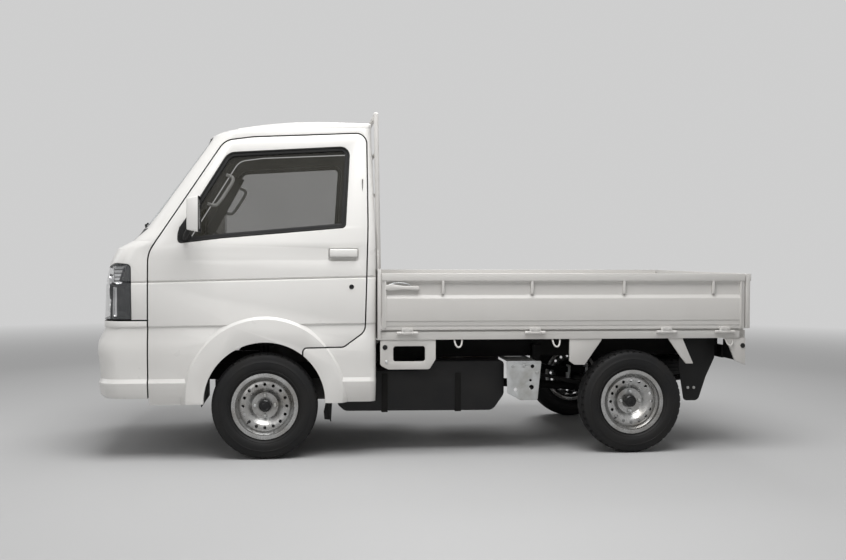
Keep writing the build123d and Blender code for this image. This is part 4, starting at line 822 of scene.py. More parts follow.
@dataclass
class Assembly:
    """What every sub-assembly shares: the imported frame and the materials."""

    frame: dict
    palette: Palette

    def finish(
        self, piece: bpy.types.Object, finish: str, slot: Slot, body: str = Body.TRUCK
    ) -> bpy.types.Object:
        """Give a finished piece its material and the body it rides on.

        Args:
            piece: finished piece, with its place in its mesh.
            finish: name of its finish.
            slot: slot of the record that it belongs to; not used.
            body: body that carries it.

        Returns:
            The same piece.
        """
        piece.data.materials.clear()
        piece.data.materials.append(self.palette[finish])
        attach(piece, str(getattr(body, "value", body)))
        log.info("%s: %d faces in %s", piece.name, len(piece.data.polygons), finish)
        return piece

    def pressed(
        self,
        piece: bpy.types.Object,
        direction: Point,
        margin: float,
        depth: float,
        width: float,
        finish: str,
        slot: Slot,
        body: str = Body.TRUCK,
        segments: int = 2,
    ) -> bpy.types.Object:
        """Press the face of a piece that looks one way, round its edges and finish it.

        Args:
            piece: piece to shape.
            direction: the way the face looks.
            margin: width of the rim that is left.
            depth: height of the pressed field, negative for a hollow.
            width: width of the rounding.
            finish: name of its finish.
            slot: slot of the record that it belongs to.
            body: body that carries it.
            segments: faces across the rounding.

        Returns:
            The same piece.
        """
        press(piece, direction, margin, depth)
        return self.finish(round_off(piece, width, segments), finish, slot, body)

    def dress(self, node: str, finish: str) -> None:
        """Give a CAD node its finish.

        Args:
            node: name of the CAD node.
            finish: name of its finish.
        """
        source = self.frame["nodes"][node]
        if not source.material_slots:
            source.data.materials.append(None)
        for place in source.material_slots:
            place.material = self.palette[finish]

    def repaint(
        self,
        piece: bpy.types.Object,
        finish: str,
        wanted: Callable[[Vector, Vector], bool],
    ) -> None:
        """Give some faces of a piece another finish.

        Args:
            piece: piece to repaint.
            finish: finish of those faces.
            wanted: test on a face's middle and normal.
        """
        piece.data.materials.append(self.palette[finish])
        index = len(piece.data.materials) - 1
        for face in piece.data.polygons:
            if wanted(face.center, face.normal):
                face.material_index = index

    def merged(self, node: str, name: str) -> bpy.types.Object:
        """Copy of a CAD node with its corners merged and its flat faces joined.

        Args:
            node: name of the CAD node.
            name: name of the copy.

        Returns:
            The copy.
        """
        source = self.frame["nodes"][node]
        piece = bpy.data.objects.new(name, source.data.copy())
        bpy.context.scene.collection.objects.link(piece)
        choose(piece)
        bpy.ops.object.mode_set(mode="EDIT")
        bpy.ops.mesh.select_all(action="SELECT")
        bpy.ops.mesh.remove_doubles(threshold=MERGE_DISTANCE)
        bpy.ops.mesh.dissolve_limited(angle_limit=FLAT_ANGLE)
        close_edit()
        if piece.data.has_custom_normals:
            bpy.ops.mesh.customdata_custom_splitnormals_clear()
        return piece

    def skin(
        self, node: str, finish: str, slot: Slot, bevel: float = 0.002
    ) -> bpy.types.Object:
        """Copy of a CAD node with rounded edges that stands for it.

        Args:
            node: name of the CAD node.
            finish: name of its finish.
            slot: slot of the record that it belongs to.
            bevel: width of the rounding.

        Returns:
            The copy, dressed and riding with the node's body.
        """
        piece = self.merged(node, f"{node}_skin")
        round_off(piece, bevel)
        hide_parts(node)
        return self.finish(piece, finish, slot, self.frame["nodes"][node]["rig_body"])

    def rim_of(
        self, node: str, name: str, way: Point, width: float, lift: float, depth: float
    ) -> bpy.types.Object:
        """Strip that follows the edge of a pane.

        Args:
            node: name of the pane's CAD node.
            name: name of the strip.
            way: the way the pane looks.
            width: width of the strip.
            lift: how far the strip lies out from the pane.
            depth: thickness of the strip.

        Returns:
            The strip.
        """
        piece = self.merged(node, name)
        looks = facing(way, 0.45)
        select_faces(piece, lambda face: not looks(face))
        bpy.ops.mesh.delete(type="FACE")
        bpy.ops.mesh.select_all(action="SELECT")
        bpy.ops.mesh.inset(thickness=width)
        bpy.ops.mesh.delete(type="FACE")
        close_edit()
        piece.data.transform(Matrix.Translation(Vector(way).normalized() * lift))
        modify(piece, "SOLIDIFY", thickness=depth, offset=1.0)
        return round_off(piece, min(width, depth) * 0.25)

    def surface(self, node: str, start: Point, way: Point) -> Vector:
        """Point where a ray meets a CAD node.

        Args:
            node: name of the CAD node.
            start: start of the ray.
            way: direction of the ray.

        Returns:
            The point met.
        """
        if node not in TREES:
            mesh = self.frame["nodes"][node].data
            TREES[node] = BVHTree.FromPolygons(
                [corner.co for corner in mesh.vertices], [face.vertices for face in mesh.polygons]
            )
        place = TREES[node].ray_cast(Vector(start), Vector(way).normalized())[0]
        if place is None:
            raise ValueError(f"no surface of {node} from {tuple(start)}")
        return place


@dataclass
class CabShell(Assembly):
    """White cab: sides, roof, back, nose and bumper, with their lining."""

    middle: tuple[float, float, float] = (0.9, 0.0, 1.2)
    bevel: float = 0.0025
    intake_low: float = 0.400
    intake_high: float = 0.490
    intake_half: float = 0.306
    bar_count: int = 4

    def inside(self, place: Vector, normal: Vector) -> bool:
        """Whether a face looks into the cab."""
        return normal.dot((Vector(self.middle) - place).normalized()) > 0.3

    def build(self) -> None:
        """Dress the shell and add the intake grille, cowl and plate."""
        for node in ("cab_side_left", "cab_side_right", "roof_panel", "cab_back_panel", "front_panel"):
            piece = self.skin(node, *CAB, self.bevel)
            self.repaint(piece, "lining" if node == "roof_panel" else "cabin_grey", self.inside)
        bumper = self.skin("front_bumper", *CAB, self.bevel)
        self.repaint(bumper, "frame_black", self.inside)
        cowl = self.skin("cowl", *TRIM, 0.002)
        self.repaint(cowl, "cabin_dark", self.inside)
        self.intake()
        self.nose_slot()
        self.number_plate()
        self.roof_ribs()

    def intake(self) -> None:
        """Bars across the opening in the bumper."""
        back = box(
            "intake_back",
            (1.60, -self.intake_half, self.intake_low),
            (1.62, self.intake_half, self.intake_high),
        )
        self.pressed(back, (1, 0, 0), 0.012, -0.006, 0.003, *TRIM)
        pitch = (self.intake_high - self.intake_low) / (self.bar_count + 1)
        for index in range(self.bar_count):
            height = self.intake_low + (index + 1) * pitch
            bar = box(
                f"intake_bar_{index}",
                (1.62, 0.004 - self.intake_half, height - 0.004),
                (1.655, self.intake_half - 0.004, height + 0.004),
            )
            self.pressed(bar, (1, 0, 0), 0.002, 0.004, 0.0015, *TRIM)

    def nose_slot(self) -> None:
        """Dark air slot between the headlamps, with a bright lower lip."""
        for name, low, high, finish, slot in (
            ("nose_slot", 0.742, 0.786, *GLOSS),
            ("nose_lip", 0.732, 0.742, "bright", Slot.LAMP_CLEAR),
        ):
            strip = self.wrapped(name, low, high, 0.385, 0.004)
            self.finish(strip, finish, slot)

    def wrapped(
        self, name: str, low: float, high: float, half: float, proud: float, parts: int = 16
    ) -> bpy.types.Object:
        """Strip that lies on the curved nose.

        Args:
            name: name of the strip.
            low: height of its lower edge.
            high: height of its upper edge.
            half: half of its width.
            proud: how far it stands out.
            parts: straight parts along it.

        Returns:
            The strip.
        """
        piece = box(name, (1.60, -half, low), (1.70, half, high))
        choose(piece)
        bpy.ops.object.mode_set(mode="EDIT")
        for index in range(1, parts):
            bpy.ops.mesh.select_all(action="SELECT")
            across = -half + 2 * half * index / parts
            bpy.ops.mesh.bisect(plane_co=(0.0, across, 0.0), plane_no=(0.0, 1.0, 0.0))
        close_edit()
        for corner in piece.data.vertices:
            face = self.surface("front_panel", (2.2, corner.co.y, corner.co.z), (-1, 0, 0)).x
            corner.co.x = face + (proud if corner.co.x > 1.65 else -0.012)
        return round_off(piece, min(0.0015, proud / 3))

    def number_plate(self) -> None:
        """Blank plate on the bumper, on two bolts."""
        face = self.surface("front_bumper", (2.2, 0.0, 0.54), (-1, 0, 0)).x + 0.006
        blank = box("front_plate", (face + 0.002, -0.165, 0.458), (face + 0.006, 0.165, 0.623))
        press(blank, (1, 0, 0), 0.006, -0.0012)
        holder = box("front_plate_holder", (face - 0.02, -0.11, 0.575), (face + 0.002, 0.11, 0.61))
        self.finish(round_off(holder, 0.002), *TRIM)
        self.finish(round_off(blank, 0.001), "plate_white", Slot.BODY_PAINT)
        for side, sign in SIDES.items():
            bolt = lathe(
                f"front_plate_bolt_{side}",
                [(-0.001, 0.0), (-0.001, 0.008), (0.003, 0.007), (0.004, 0.0)],
                (face + 0.006, sign * 0.105, 0.598),
                (1, 0, 0),
                12,
            )
            self.finish(bolt, *ZINC)

    def roof_ribs(self) -> None:
        """Two shallow pressed ribs along the roof."""
        for side, sign in SIDES.items():
            wide = (sign * 0.28 - 0.03, sign * 0.28 + 0.03)
            rib = block(f"roof_rib_{side}", (0.36, 1.0), wide, (1.7, 1.8))
            bpy.ops.object.mode_set(mode="EDIT")
            for index in range(1, 12):
                bpy.ops.mesh.select_all(action="SELECT")
                bpy.ops.mesh.bisect(plane_co=(0.36 + 0.64 * index / 12, 0, 0), plane_no=(1, 0, 0))
            close_edit()
            for corner in rib.data.vertices:
                top = self.surface("roof_panel", (corner.co.x, corner.co.y, 2.2), (0, 0, -1)).z
                corner.co.z = top + (0.005 if corner.co.z > 1.75 else -0.006)
            self.finish(round_off(rib, 0.0045, 3), *CAB)


@dataclass
class Doors(Assembly):
    """Both doors with handle, lock, glass frame and inner trim."""

    handle_low: tuple[float, float] = (0.372, 1.002)
    handle_high: tuple[float, float] = (0.523, 1.067)
    face_y: float = 0.7115
    card_y: float = 0.655
    lock: tuple[float, float] = (0.407, 0.871)

    def build(self) -> None:
        """Build the pieces of both doors."""
        for side, sign in SIDES.items():
            body = f"{side}_door"
            self.panel(sign, body)
            self.glass_frame(side, sign, body)
            self.handle(side, sign, body)
            self.trim(side, sign, body)

    def panel(self, sign: float, body: str) -> None:
        """Door panel with a hollow behind its handle.

        Args:
            sign: 1 on the left and -1 on the right.
            body: body that carries them.
        """
        piece = self.merged(body, f"{body}_skin")
        (x_low, z_low), (x_high, z_high) = self.handle_low, self.handle_high
        deep = (self.face_y - 0.012, self.face_y + 0.05)
        cutter = block("handle_hollow", (x_low, x_high), deep, (z_low, z_high), sign)
        round_off(cutter, 0.011, 3)
        modify(piece, "BOOLEAN", object=cutter, operation="DIFFERENCE", solver="EXACT")
        bpy.data.objects.remove(cutter)
        round_off(piece, 0.002)
        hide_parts(body)
        self.finish(piece, *CAB, body)
        self.repaint(
            piece, "cabin_grey", lambda place, normal: normal.y * sign < -0.3 and abs(place.y) < 0.69
        )

    def glass_frame(self, side: str, sign: float, body: str) -> None:
        """Black frame and seal round the side glass.

        Args:
            side: left or right.
            sign: 1 on the left and -1 on the right.
            body: body that carries them.
        """
        way = (0.0, sign, 0.12)
        pane = f"{body}_glass"
        self.dress(pane, "window_glass")
        frame = self.rim_of(pane, f"{side}_window_frame", way, 0.024, 0.0, 0.010)
        self.finish(frame, *TRIM, body)
        seal = self.rim_of(pane, f"{side}_window_seal", way, 0.009, 0.010, 0.006)
        self.finish(seal, *SEAL, body)

    def handle(self, side: str, sign: float, body: str) -> None:
        """Lift-up handle in body colour and the key lock under it.

        Args:
            side: left or right.
            sign: 1 on the left and -1 on the right.
            body: body that carries them.
        """
        (x_low, z_low), (x_high, z_high) = self.handle_low, self.handle_high
        flap = block(
            f"{side}_door_handle",
            (x_low + 0.005, x_high - 0.005),
            (self.face_y - 0.004, self.face_y + 0.016),
            (z_low + 0.020, z_high - 0.004),
            sign,
        )
        self.pressed(flap, (0, sign, 0), 0.012, 0.003, 0.005, *CAB, body, segments=3)
        x, z = self.lock
        face = self.surface(body, (x, sign * 1.2, z), (0, -sign, 0))
        barrel = lathe(
            f"{side}_door_lock",
            [
                (-0.004, 0.0), (-0.004, 0.0125), (0.0015, 0.0125), (0.003, 0.0105), (0.001, 0.008),
                (0.0015, 0.0),
            ],
            face,
            (0, sign, 0),
            28,
        )
        self.finish(barrel, *GLOSS, body)

    def trim(self, side: str, sign: float, body: str) -> None:
        """Inner door card with armrest, pull and window winder.

        Args:
            side: left or right.
            sign: 1 on the left and -1 on the right.
            body: body that carries them.
        """
        inner = sign * self.card_y
        card = plate(
            f"{side}_door_card",
            [
                (0.36, inner, 0.70), (0.62, inner, 0.66), (1.10, inner, 0.70), (1.33, inner, 0.78),
                (1.36, inner, 1.05), (0.36, inner, 1.07),
            ],
            (0.0, sign * 0.006, 0.0),
        )
        self.pressed(card, (0, -sign, 0), 0.03, 0.004, 0.002, "cabin_grey", Slot.INTERIOR_PLASTIC, body)
        rest = (self.card_y, self.card_y - 0.045)
        arm = block(f"{side}_armrest", (0.62, 0.98), rest, (0.845, 0.885), sign)
        self.pressed(arm, (0, -sign, 0), 0.01, 0.006, 0.01, *DARK, body, segments=3)
        pull = tube(
            f"{side}_door_pull",
            [
                (0.64, inner, 0.93), (0.64, inner - sign * 0.035, 0.935),
                (0.76, inner - sign * 0.04, 0.94), (0.76, inner, 0.945),
            ],
            0.008,
        )
        self.finish(pull, *DARK, body)
        winder = lathe(
            f"{side}_winder",
            [(0.0, 0.0), (0.0, 0.026), (0.012, 0.022), (0.016, 0.0)],
            (1.08, inner, 0.86),
            (0, -sign, 0),
            24,
        )
        crank = tube(
            f"{side}_winder_crank",
            [
                (1.08, inner - sign * 0.012, 0.86), (1.08, inner - sign * 0.026, 0.86),
                (1.10, inner - sign * 0.028, 0.80), (1.10, inner - sign * 0.055, 0.795),
            ],
            0.007,
        )
        self.finish(winder, *DARK, body)
        self.finish(crank, *DARK, body)


@dataclass
class Mirrors(Assembly):
    """Door mirrors: white shell, black arm and foot, silver glass."""

    centre: tuple[float, float, float] = (1.1765, 0.8495, 1.228)
    size: tuple[float, float, float] = (0.062, 0.140, 0.176)
    rim: float = 0.013

    def build(self) -> None:
        """Build both mirrors."""
        for side, sign in SIDES.items():
            self.head(side, sign)
            self.foot(side, sign)

    def head(self, side: str, sign: float) -> None:
        """Shell, bezel and glass of one mirror.

        Args:
            side: left or right.
            sign: 1 on the left and -1 on the right.
        """
        body = f"{side}_door"
        middle = Vector((self.centre[0], sign * self.centre[1], self.centre[2]))
        half = Vector(self.size) / 2
        shell = box(f"{side}_mirror_shell", middle - half, middle + half)
        select_faces(shell, facing((1, 0, 0)))
        front = tuple(middle + Vector((half.x, 0, 0)))
        bpy.ops.transform.resize(value=(1.0, 0.80, 0.86), center_override=front)
        close_edit()
        press(shell, (-1, 0, 0), 0.009, -0.010)
        round_off(shell, 0.016, 4)
        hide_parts(f"{side}_mirror")
        self.finish(shell, *CAB, body)
        back = middle.x - half.x
        self.repaint(shell, "black_trim", lambda place, normal: place.x < back + 0.014)
        pane = box(
            f"{side}_mirror_glass",
            (back + 0.006, middle.y - half.y + self.rim, middle.z - half.z + self.rim),
            (back + 0.010, middle.y + half.y - self.rim, middle.z + half.z - self.rim),
        )
        self.pressed(pane, (-1, 0, 0), 0.004, 0.001, 0.001, "mirror_silver", Slot.CLEAR_GLASS, body)

    def foot(self, side: str, sign: float) -> None:
        """Triangular foot in the window's front corner, and the arm.

        Args:
            side: left or right.
            sign: 1 on the left and -1 on the right.
        """
        body = f"{side}_door"
        y_in, y_out = sign * 0.683, sign * 0.704
        foot = plate(
            f"{side}_mirror_foot",
            [(x, y_in, z) for x, z in ((1.266, 1.088), (1.266, 1.165), (1.222, 1.228), (1.205, 1.085))],
            (0.0, y_out - y_in, 0.0),
        )
        self.pressed(foot, (0, sign, 0), 0.006, 0.002, 0.003, *TRIM, body)
        arm = tube(
            f"{side}_mirror_arm",
            [
                (1.236, sign * 0.690, 1.110), (1.234, sign * 0.722, 1.112),
                (1.222, sign * 0.765, 1.135), (1.200, sign * 0.800, 1.165),
                (1.186, sign * 0.830, 1.190),
            ],
            0.013,
        )
        self.finish(arm, *TRIM, body)


@dataclass
class Glazing(Assembly):
    """Windscreen and rear window with their seals, and the wipers."""

    def build(self) -> None:
        """Dress the panes and add what holds and wipes them."""
        self.dress("windscreen", "screen_glass")
        self.dress("rear_window", "window_glass")
        seal = self.rim_of("windscreen", "windscreen_seal", (1, 0, 0.8), 0.007, 0.0, 0.0015)
        self.finish(seal, *SEAL)
        back = self.rim_of("rear_window", "rear_window_seal", (-1, 0, 0), 0.020, 0.0, 0.018)
        self.finish(back, *SEAL)
        for name, pivot, tip in (("inner", -0.08, 0.42), ("outer", -0.52, -0.04)):
            self.wiper(name, pivot, tip)
        self.view_mirror()

    def on_glass(self, across: float, height: float, lift: float) -> Vector:
        """Point just outside the windscreen."""
        place = self.surface("windscreen", (2.4, across, height), (-1, 0, 0))
        return place + Vector((lift * 0.8, 0.0, lift * 0.6))

    def wiper(self, name: str, pivot: float, tip: float) -> None:
        """Arm and blade that lie on the foot of the windscreen.

        Args:
            name: inner or outer.
            pivot: place of its pivot across the truck.
            tip: place of its tip across the truck.
        """
        foot = self.on_glass(pivot, 1.175, 0.002)
        foot.z -= 0.014
        foot.x += 0.006
        middle = self.on_glass((pivot + tip) / 2, 1.178, 0.011)
        end = self.on_glass(pivot + (tip - pivot) * 0.72, 1.184, 0.009)
        bend = foot.lerp(middle, 0.5) + Vector((0.006, 0, 0.004))
        arm = tube(f"wiper_arm_{name}", [foot, bend, middle, end], 0.005)
        self.finish(arm, *TRIM)
        cap = lathe(
            f"wiper_cap_{name}",
            [(-0.010, 0.0), (-0.010, 0.012), (0.004, 0.010), (0.007, 0.0)],
            foot,
            (0.6, 0, 0.8),
            20,
        )
        self.finish(cap, *TRIM)
        spots = [
            self.on_glass(pivot + (tip - pivot) * share, 1.176 + 0.012 * share, 0.005)
            for share in (0.3, 0.5, 0.72, 0.9, 1.1)
        ]
        blade = tube(f"wiper_blade_{name}", spots, 0.0045)
        self.finish(blade, *SEAL)

    def view_mirror(self) -> None:
        """Inside mirror on a short stalk under the windscreen's head."""
        shell = box("view_mirror", (1.085, -0.12, 1.515), (1.105, 0.12, 1.575))
        self.pressed(shell, (-1, 0, 0), 0.005, -0.003, 0.007, *DARK, segments=3)
        pane = box("view_mirror_glass", (1.0845, -0.112, 1.523), (1.089, 0.112, 1.567))
        self.pressed(pane, (-1, 0, 0), 0.003, 0.0004, 0.001, "mirror_silver", Slot.CLEAR_GLASS)
        line = [(1.105, 0, 1.56), (1.125, 0, 1.58), (1.14, 0, 1.63), (1.145, 0, 1.655)]
        stalk = tube("view_mirror_stalk", line, 0.006)
        self.finish(stalk, *DARK)


@dataclass
class Lamps(Assembly):
    """Headlamps with their bowls, and the rear lamps."""

    lens_wall: float = 0.003
    body_wall: float = 0.0015
    bowls: tuple[tuple[str, float, float, float], ...] = (
        ("main", 0.52, 0.855, 0.056),
        ("dip", 0.47, 0.765, 0.034),
        ("turn", 0.62, 0.905, 0.030),
    )

    def build(self) -> None:
        """Build the front and rear lamps."""
        self.covers()
        for side, sign in SIDES.items():
            for name, across, height, radius in self.bowls:
                self.bowl(f"{side}_{name}_bowl", sign * across, height, radius)
            self.side_blocks(side, sign)
            self.rear(side, sign)

    def shown(self, face: bmesh.types.BMFace) -> bool:
        """Whether a face of the lamp solids belongs to the clear cover."""
        return face.normal.x > 0.35 or face.normal.y * face.calc_center_median().y > 0.33

    def wall(self, name: str, kept: bool, thickness: float) -> bpy.types.Object:
        """Thin wall from either part of the lamp solids.

        Args:
            name: name of the wall.
            kept: whether the cover's faces are kept, or the others.
            thickness: thickness of the wall.

        Returns:
            The wall.
        """
        piece = self.merged("headlamps", name)
        select_faces(piece, lambda face: self.shown(face) != kept)
        bpy.ops.mesh.delete(type="FACE")
        close_edit()
        modify(piece, "SOLIDIFY", thickness=thickness, offset=-1.0)
        choose(piece)
        bpy.ops.object.shade_smooth_by_angle(angle=SMOOTH_ANGLE)
        return piece

    def covers(self) -> None:
        """Clear covers, and the dark bodies behind them."""
        lenses = self.wall("headlamp_lenses", True, self.lens_wall)
        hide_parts("headlamps")
        self.finish(lenses, "lens_clear", Slot.LAMP_CLEAR)
        self.finish(self.wall("headlamp_housings", False, self.body_wall), *GLOSS)

    def side_blocks(self, side: str, sign: float) -> None:
        """Stepped reflector and dark block that show through the side of the cover.

        Args:
            side: left or right.
            sign: 1 on the left and -1 on the right.
        """
        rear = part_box("headlamps")[0].x
        for name, start, end, low, high, finish in (
            ("reflector", 0.008, 0.095, 0.885, 0.972, "bright"),
            ("strip", 0.078, 0.096, 0.722, 0.868, "bright"),
            ("block", 0.006, 0.066, 0.716, 0.868, "gloss_black"),
            ("pane", 0.014, 0.056, 0.726, 0.856, "cabin_grey"),
        ):
            outer = 0.668 if name == "pane" else 0.664
            along = (rear + start, rear + end)
            piece = block(f"{side}_lamp_{name}", along, (0.56, outer), (low, high), sign)
            if name != "pane":
                press(piece, (0, sign, 0), 0.006, -0.006)
            self.finish(round_off(piece, 0.002), finish, Slot.LAMP_CLEAR)
        for index in range(4):
            height = 0.900 + 0.019 * index
            rib = block(
                f"{side}_lamp_rib_{index}",
                (rear + 0.016, rear + 0.088),
                (0.64, 0.6635),
                (height - 0.0022, height + 0.0022),
                sign,
            )
            press(rib, (0, sign, 0), 0.0008, 0.0008)
            self.finish(rib, "gloss_black", Slot.LAMP_CLEAR)

    def bowl(self, name: str, across: float, height: float, radius: float) -> None:
        """Round bowl with a bulb cap behind the cover.

        Args:
            name: name of the bowl.
            across: place across the truck.
            height: height above the ground.
            radius: radius of its mouth.
        """
        reach = across + math.copysign(radius * 0.7, across)
        front = min(
            self.surface("headlamps", (2.4, spot, height), (-1, 0, 0)).x for spot in (across, reach)
        )
        back = front - 0.036
        bowl = lathe(
            name,
            [
                (0.0, 0.0), (0.001, radius * 0.3), (0.009, radius * 0.7), (0.022, radius * 0.97),
                (0.024, radius), (0.021, radius), (0.007, radius * 0.72), (-0.001, radius * 0.3),
                (-0.002, 0.0),
            ],
            (back, across, height),
            (1, 0, 0),
            40,
        )
        self.finish(bowl, "bright", Slot.LAMP_CLEAR)
        cap = lathe(
            f"{name}_bulb",
            [(0.002, radius * 0.2), (0.014, radius * 0.2), (0.019, radius * 0.14), (0.020, 0.0)],
            (back, across, height),
            (1, 0, 0),
            20,
        )
        self.finish(cap, "mirror_silver", Slot.LAMP_CLEAR)

    def rear(self, side: str, sign: float) -> None:
        """Rear lamp: dark case with red, amber and clear lenses.

        Args:
            side: left or right.
            sign: 1 on the left and -1 on the right.
        """
        low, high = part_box("tail_lamps")
        outer, inner = sign * high.y, sign * (high.y - 0.15)
        y_low, y_high = sorted((outer, inner))
        case = box(f"{side}_lamp_case", (low.x + 0.012, y_low, low.z), (high.x, y_high, high.z))
        press(case, (-1, 0, 0), 0.004, -0.003)
        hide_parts("tail_lamps")
        self.finish(round_off(case, 0.003), *TRIM)
        third = (y_high - y_low - 0.012) / 3
        for index, finish in enumerate(("lens_white", "lens_amber", "lens_red")):
            start = inner + sign * (0.006 + index * third)
            pair = sorted((start, start + sign * third))
            lens = box(
                f"{side}_rear_{finish}",
                (low.x, pair[0] + 0.0008, low.z + 0.006),
                (low.x + 0.016, pair[1] - 0.0008, high.z - 0.006),
            )
            self.pressed(lens, (-1, 0, 0), 0.004, 0.0012, 0.002, finish, Slot.LAMP_RED)


@dataclass
class Wheels(Assembly):
    """Five wheels: grooved tyres, silver rims, nuts, caps and valves."""

    steps: int = 180
    steps_per_block: int = 4
    shoulder: Span = (0.0385, 0.0625)
    shoulder_radius: float = 0.255
    nut_circle: float = 0.050
    nuts: int = 4
    nut: tuple[Span, ...] = ((0.0, 0.0), (0.0, 0.0105), (0.013, 0.0105), (0.016, 0.0075), (0.016, 0.0))
    stud: tuple[Span, ...] = ((0.015, 0.0), (0.015, 0.0055), (0.023, 0.0050), (0.024, 0.0))
    cap: tuple[Span, ...] = (
        (0.014, 0.0), (0.014, 0.0315), (0.020, 0.0325), (0.036, 0.0300), (0.041, 0.0240),
        (0.039, 0.0180), (0.042, 0.0120), (0.042, 0.0),
    )

    def profile(self) -> list[tuple[float, float]]:
        """Tyre section from one bead over the tread to the other."""
        side = [
            (0.0560, 0.1525), (0.0560, 0.1710), (0.0590, 0.1735), (0.0640, 0.1790),
            (0.0665, 0.1830), (0.0655, 0.1850), (0.0685, 0.1900), (0.0708, 0.1960),
            (0.0722, 0.2040), (0.0725, 0.2120), (0.0718, 0.2220), (0.0728, 0.2232),
            (0.0722, 0.2270), (0.0700, 0.2300), (0.0688, 0.2380), (0.0668, 0.2440),
            (0.0655, 0.2500), (0.0610, 0.2580), (0.0550, 0.2627), (0.0500, 0.2650),
            (0.0385, 0.2660), (0.0365, 0.2600), (0.0300, 0.2600), (0.0280, 0.2672),
            (0.0150, 0.2677), (0.0135, 0.2610), (0.0075, 0.2610), (0.0060, 0.2680),
        ]
        return side + [(-along, radius) for along, radius in reversed(side)]

    def tyre(self, node: str, centre: Point, axis: Point) -> None:
        """Tyre with grooves, shoulder blocks and sidewall rings.

        Args:
            node: CAD node that it stands for.
            centre: middle of the wheel.
            axis: axle, pointing outwards.
        """
        piece = lathe(f"{node}_tread", self.profile(), centre, axis, self.steps, closed=True)
        middle, way = Vector(centre), Vector(axis).normalized()
        side_way = way.orthogonal().normalized()
        up_way = way.cross(side_way)

        def is_sipe(face: bmesh.types.BMFace) -> bool:
            """Whether a face becomes a cut between two shoulder blocks."""
            arm = face.calc_center_median() - middle
            along = abs(arm.dot(way))
            if not self.shoulder[0] < along < self.shoulder[1] or arm.length < self.shoulder_radius:
                return False
            turn = math.atan2(arm.dot(up_way), arm.dot(side_way)) / math.tau * self.steps
            return int(math.floor(turn)) % self.steps_per_block == 0

        select_faces(piece, is_sipe)
        bpy.ops.mesh.inset(thickness=0.0008, depth=-0.005)
        close_edit()
        bpy.ops.object.shade_smooth_by_angle(angle=SMOOTH_ANGLE)
        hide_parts(node)
        self.finish(piece, "tyre_rubber", Slot.TYRE_RUBBER, self.frame["nodes"][node]["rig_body"])

    def hub(self, name: str, centre: Point, axis: Point, body: str, capped: bool) -> None:
        """Nuts, valve and centre cap of one wheel.

        Args:
            name: name of the wheel.
            centre: middle of the wheel.
            axis: axle, pointing outwards.
            body: body that carries them.
            capped: whether a hub cap closes the bore.
        """
        middle, way = Vector(centre), Vector(axis).normalized()
        side_way = way.orthogonal().normalized()
        up_way = way.cross(side_way)
        nuts = []
        for index in range(self.nuts):
            turn = math.tau * (index + 0.5) / self.nuts
            arm = side_way * math.cos(turn) + up_way * math.sin(turn)
            foot = middle + arm * self.nut_circle + way * 0.014
            nuts.append(lathe(f"{name}_nut_{index}", self.nut, foot, way, 6))
            nuts.append(lathe(f"{name}_stud_{index}", self.stud, foot, way, 12))
        self.finish(join(f"{name}_nuts", nuts), "zinc", Slot.WHEEL_STEEL, body)
        if capped:
            self.finish(lathe(f"{name}_cap", self.cap, centre, axis, 36), *GLOSS, body)
        stem = middle + up_way * 0.128 + way * 0.030
        valve = rod(f"{name}_valve", stem, stem + way * 0.024 - up_way * 0.010, 0.0035, 12)
        press(valve, way, 0.001, 0.002, 0.5)
        self.finish(round_off(valve, 0.0006), "seal_rubber", Slot.TYRE_RUBBER, body)

    def build(self) -> None:
        """Build every wheel round the middle of its rim."""
        for name in ("front_left", "front_right", "rear_left", "rear_right"):
            low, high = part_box(f"{name}_tyre")
            centre = (low + high) / 2
            axis = (0.0, math.copysign(1.0, centre.y), 0.0)
            self.tyre(f"{name}_tyre", centre, axis)
            self.skin(f"{name}_rim", "wheel_silver", Slot.WHEEL_STEEL, 0.0008)
            self.hub(name, centre, axis, f"{name}_wheel", True)
        low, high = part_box("spare_tyre")
        centre = (low + high) / 2
        self.tyre("spare_tyre", centre, (0.0, 0.0, -1.0))
        self.skin("spare_rim", "wheel_silver", Slot.WHEEL_STEEL, 0.0008)


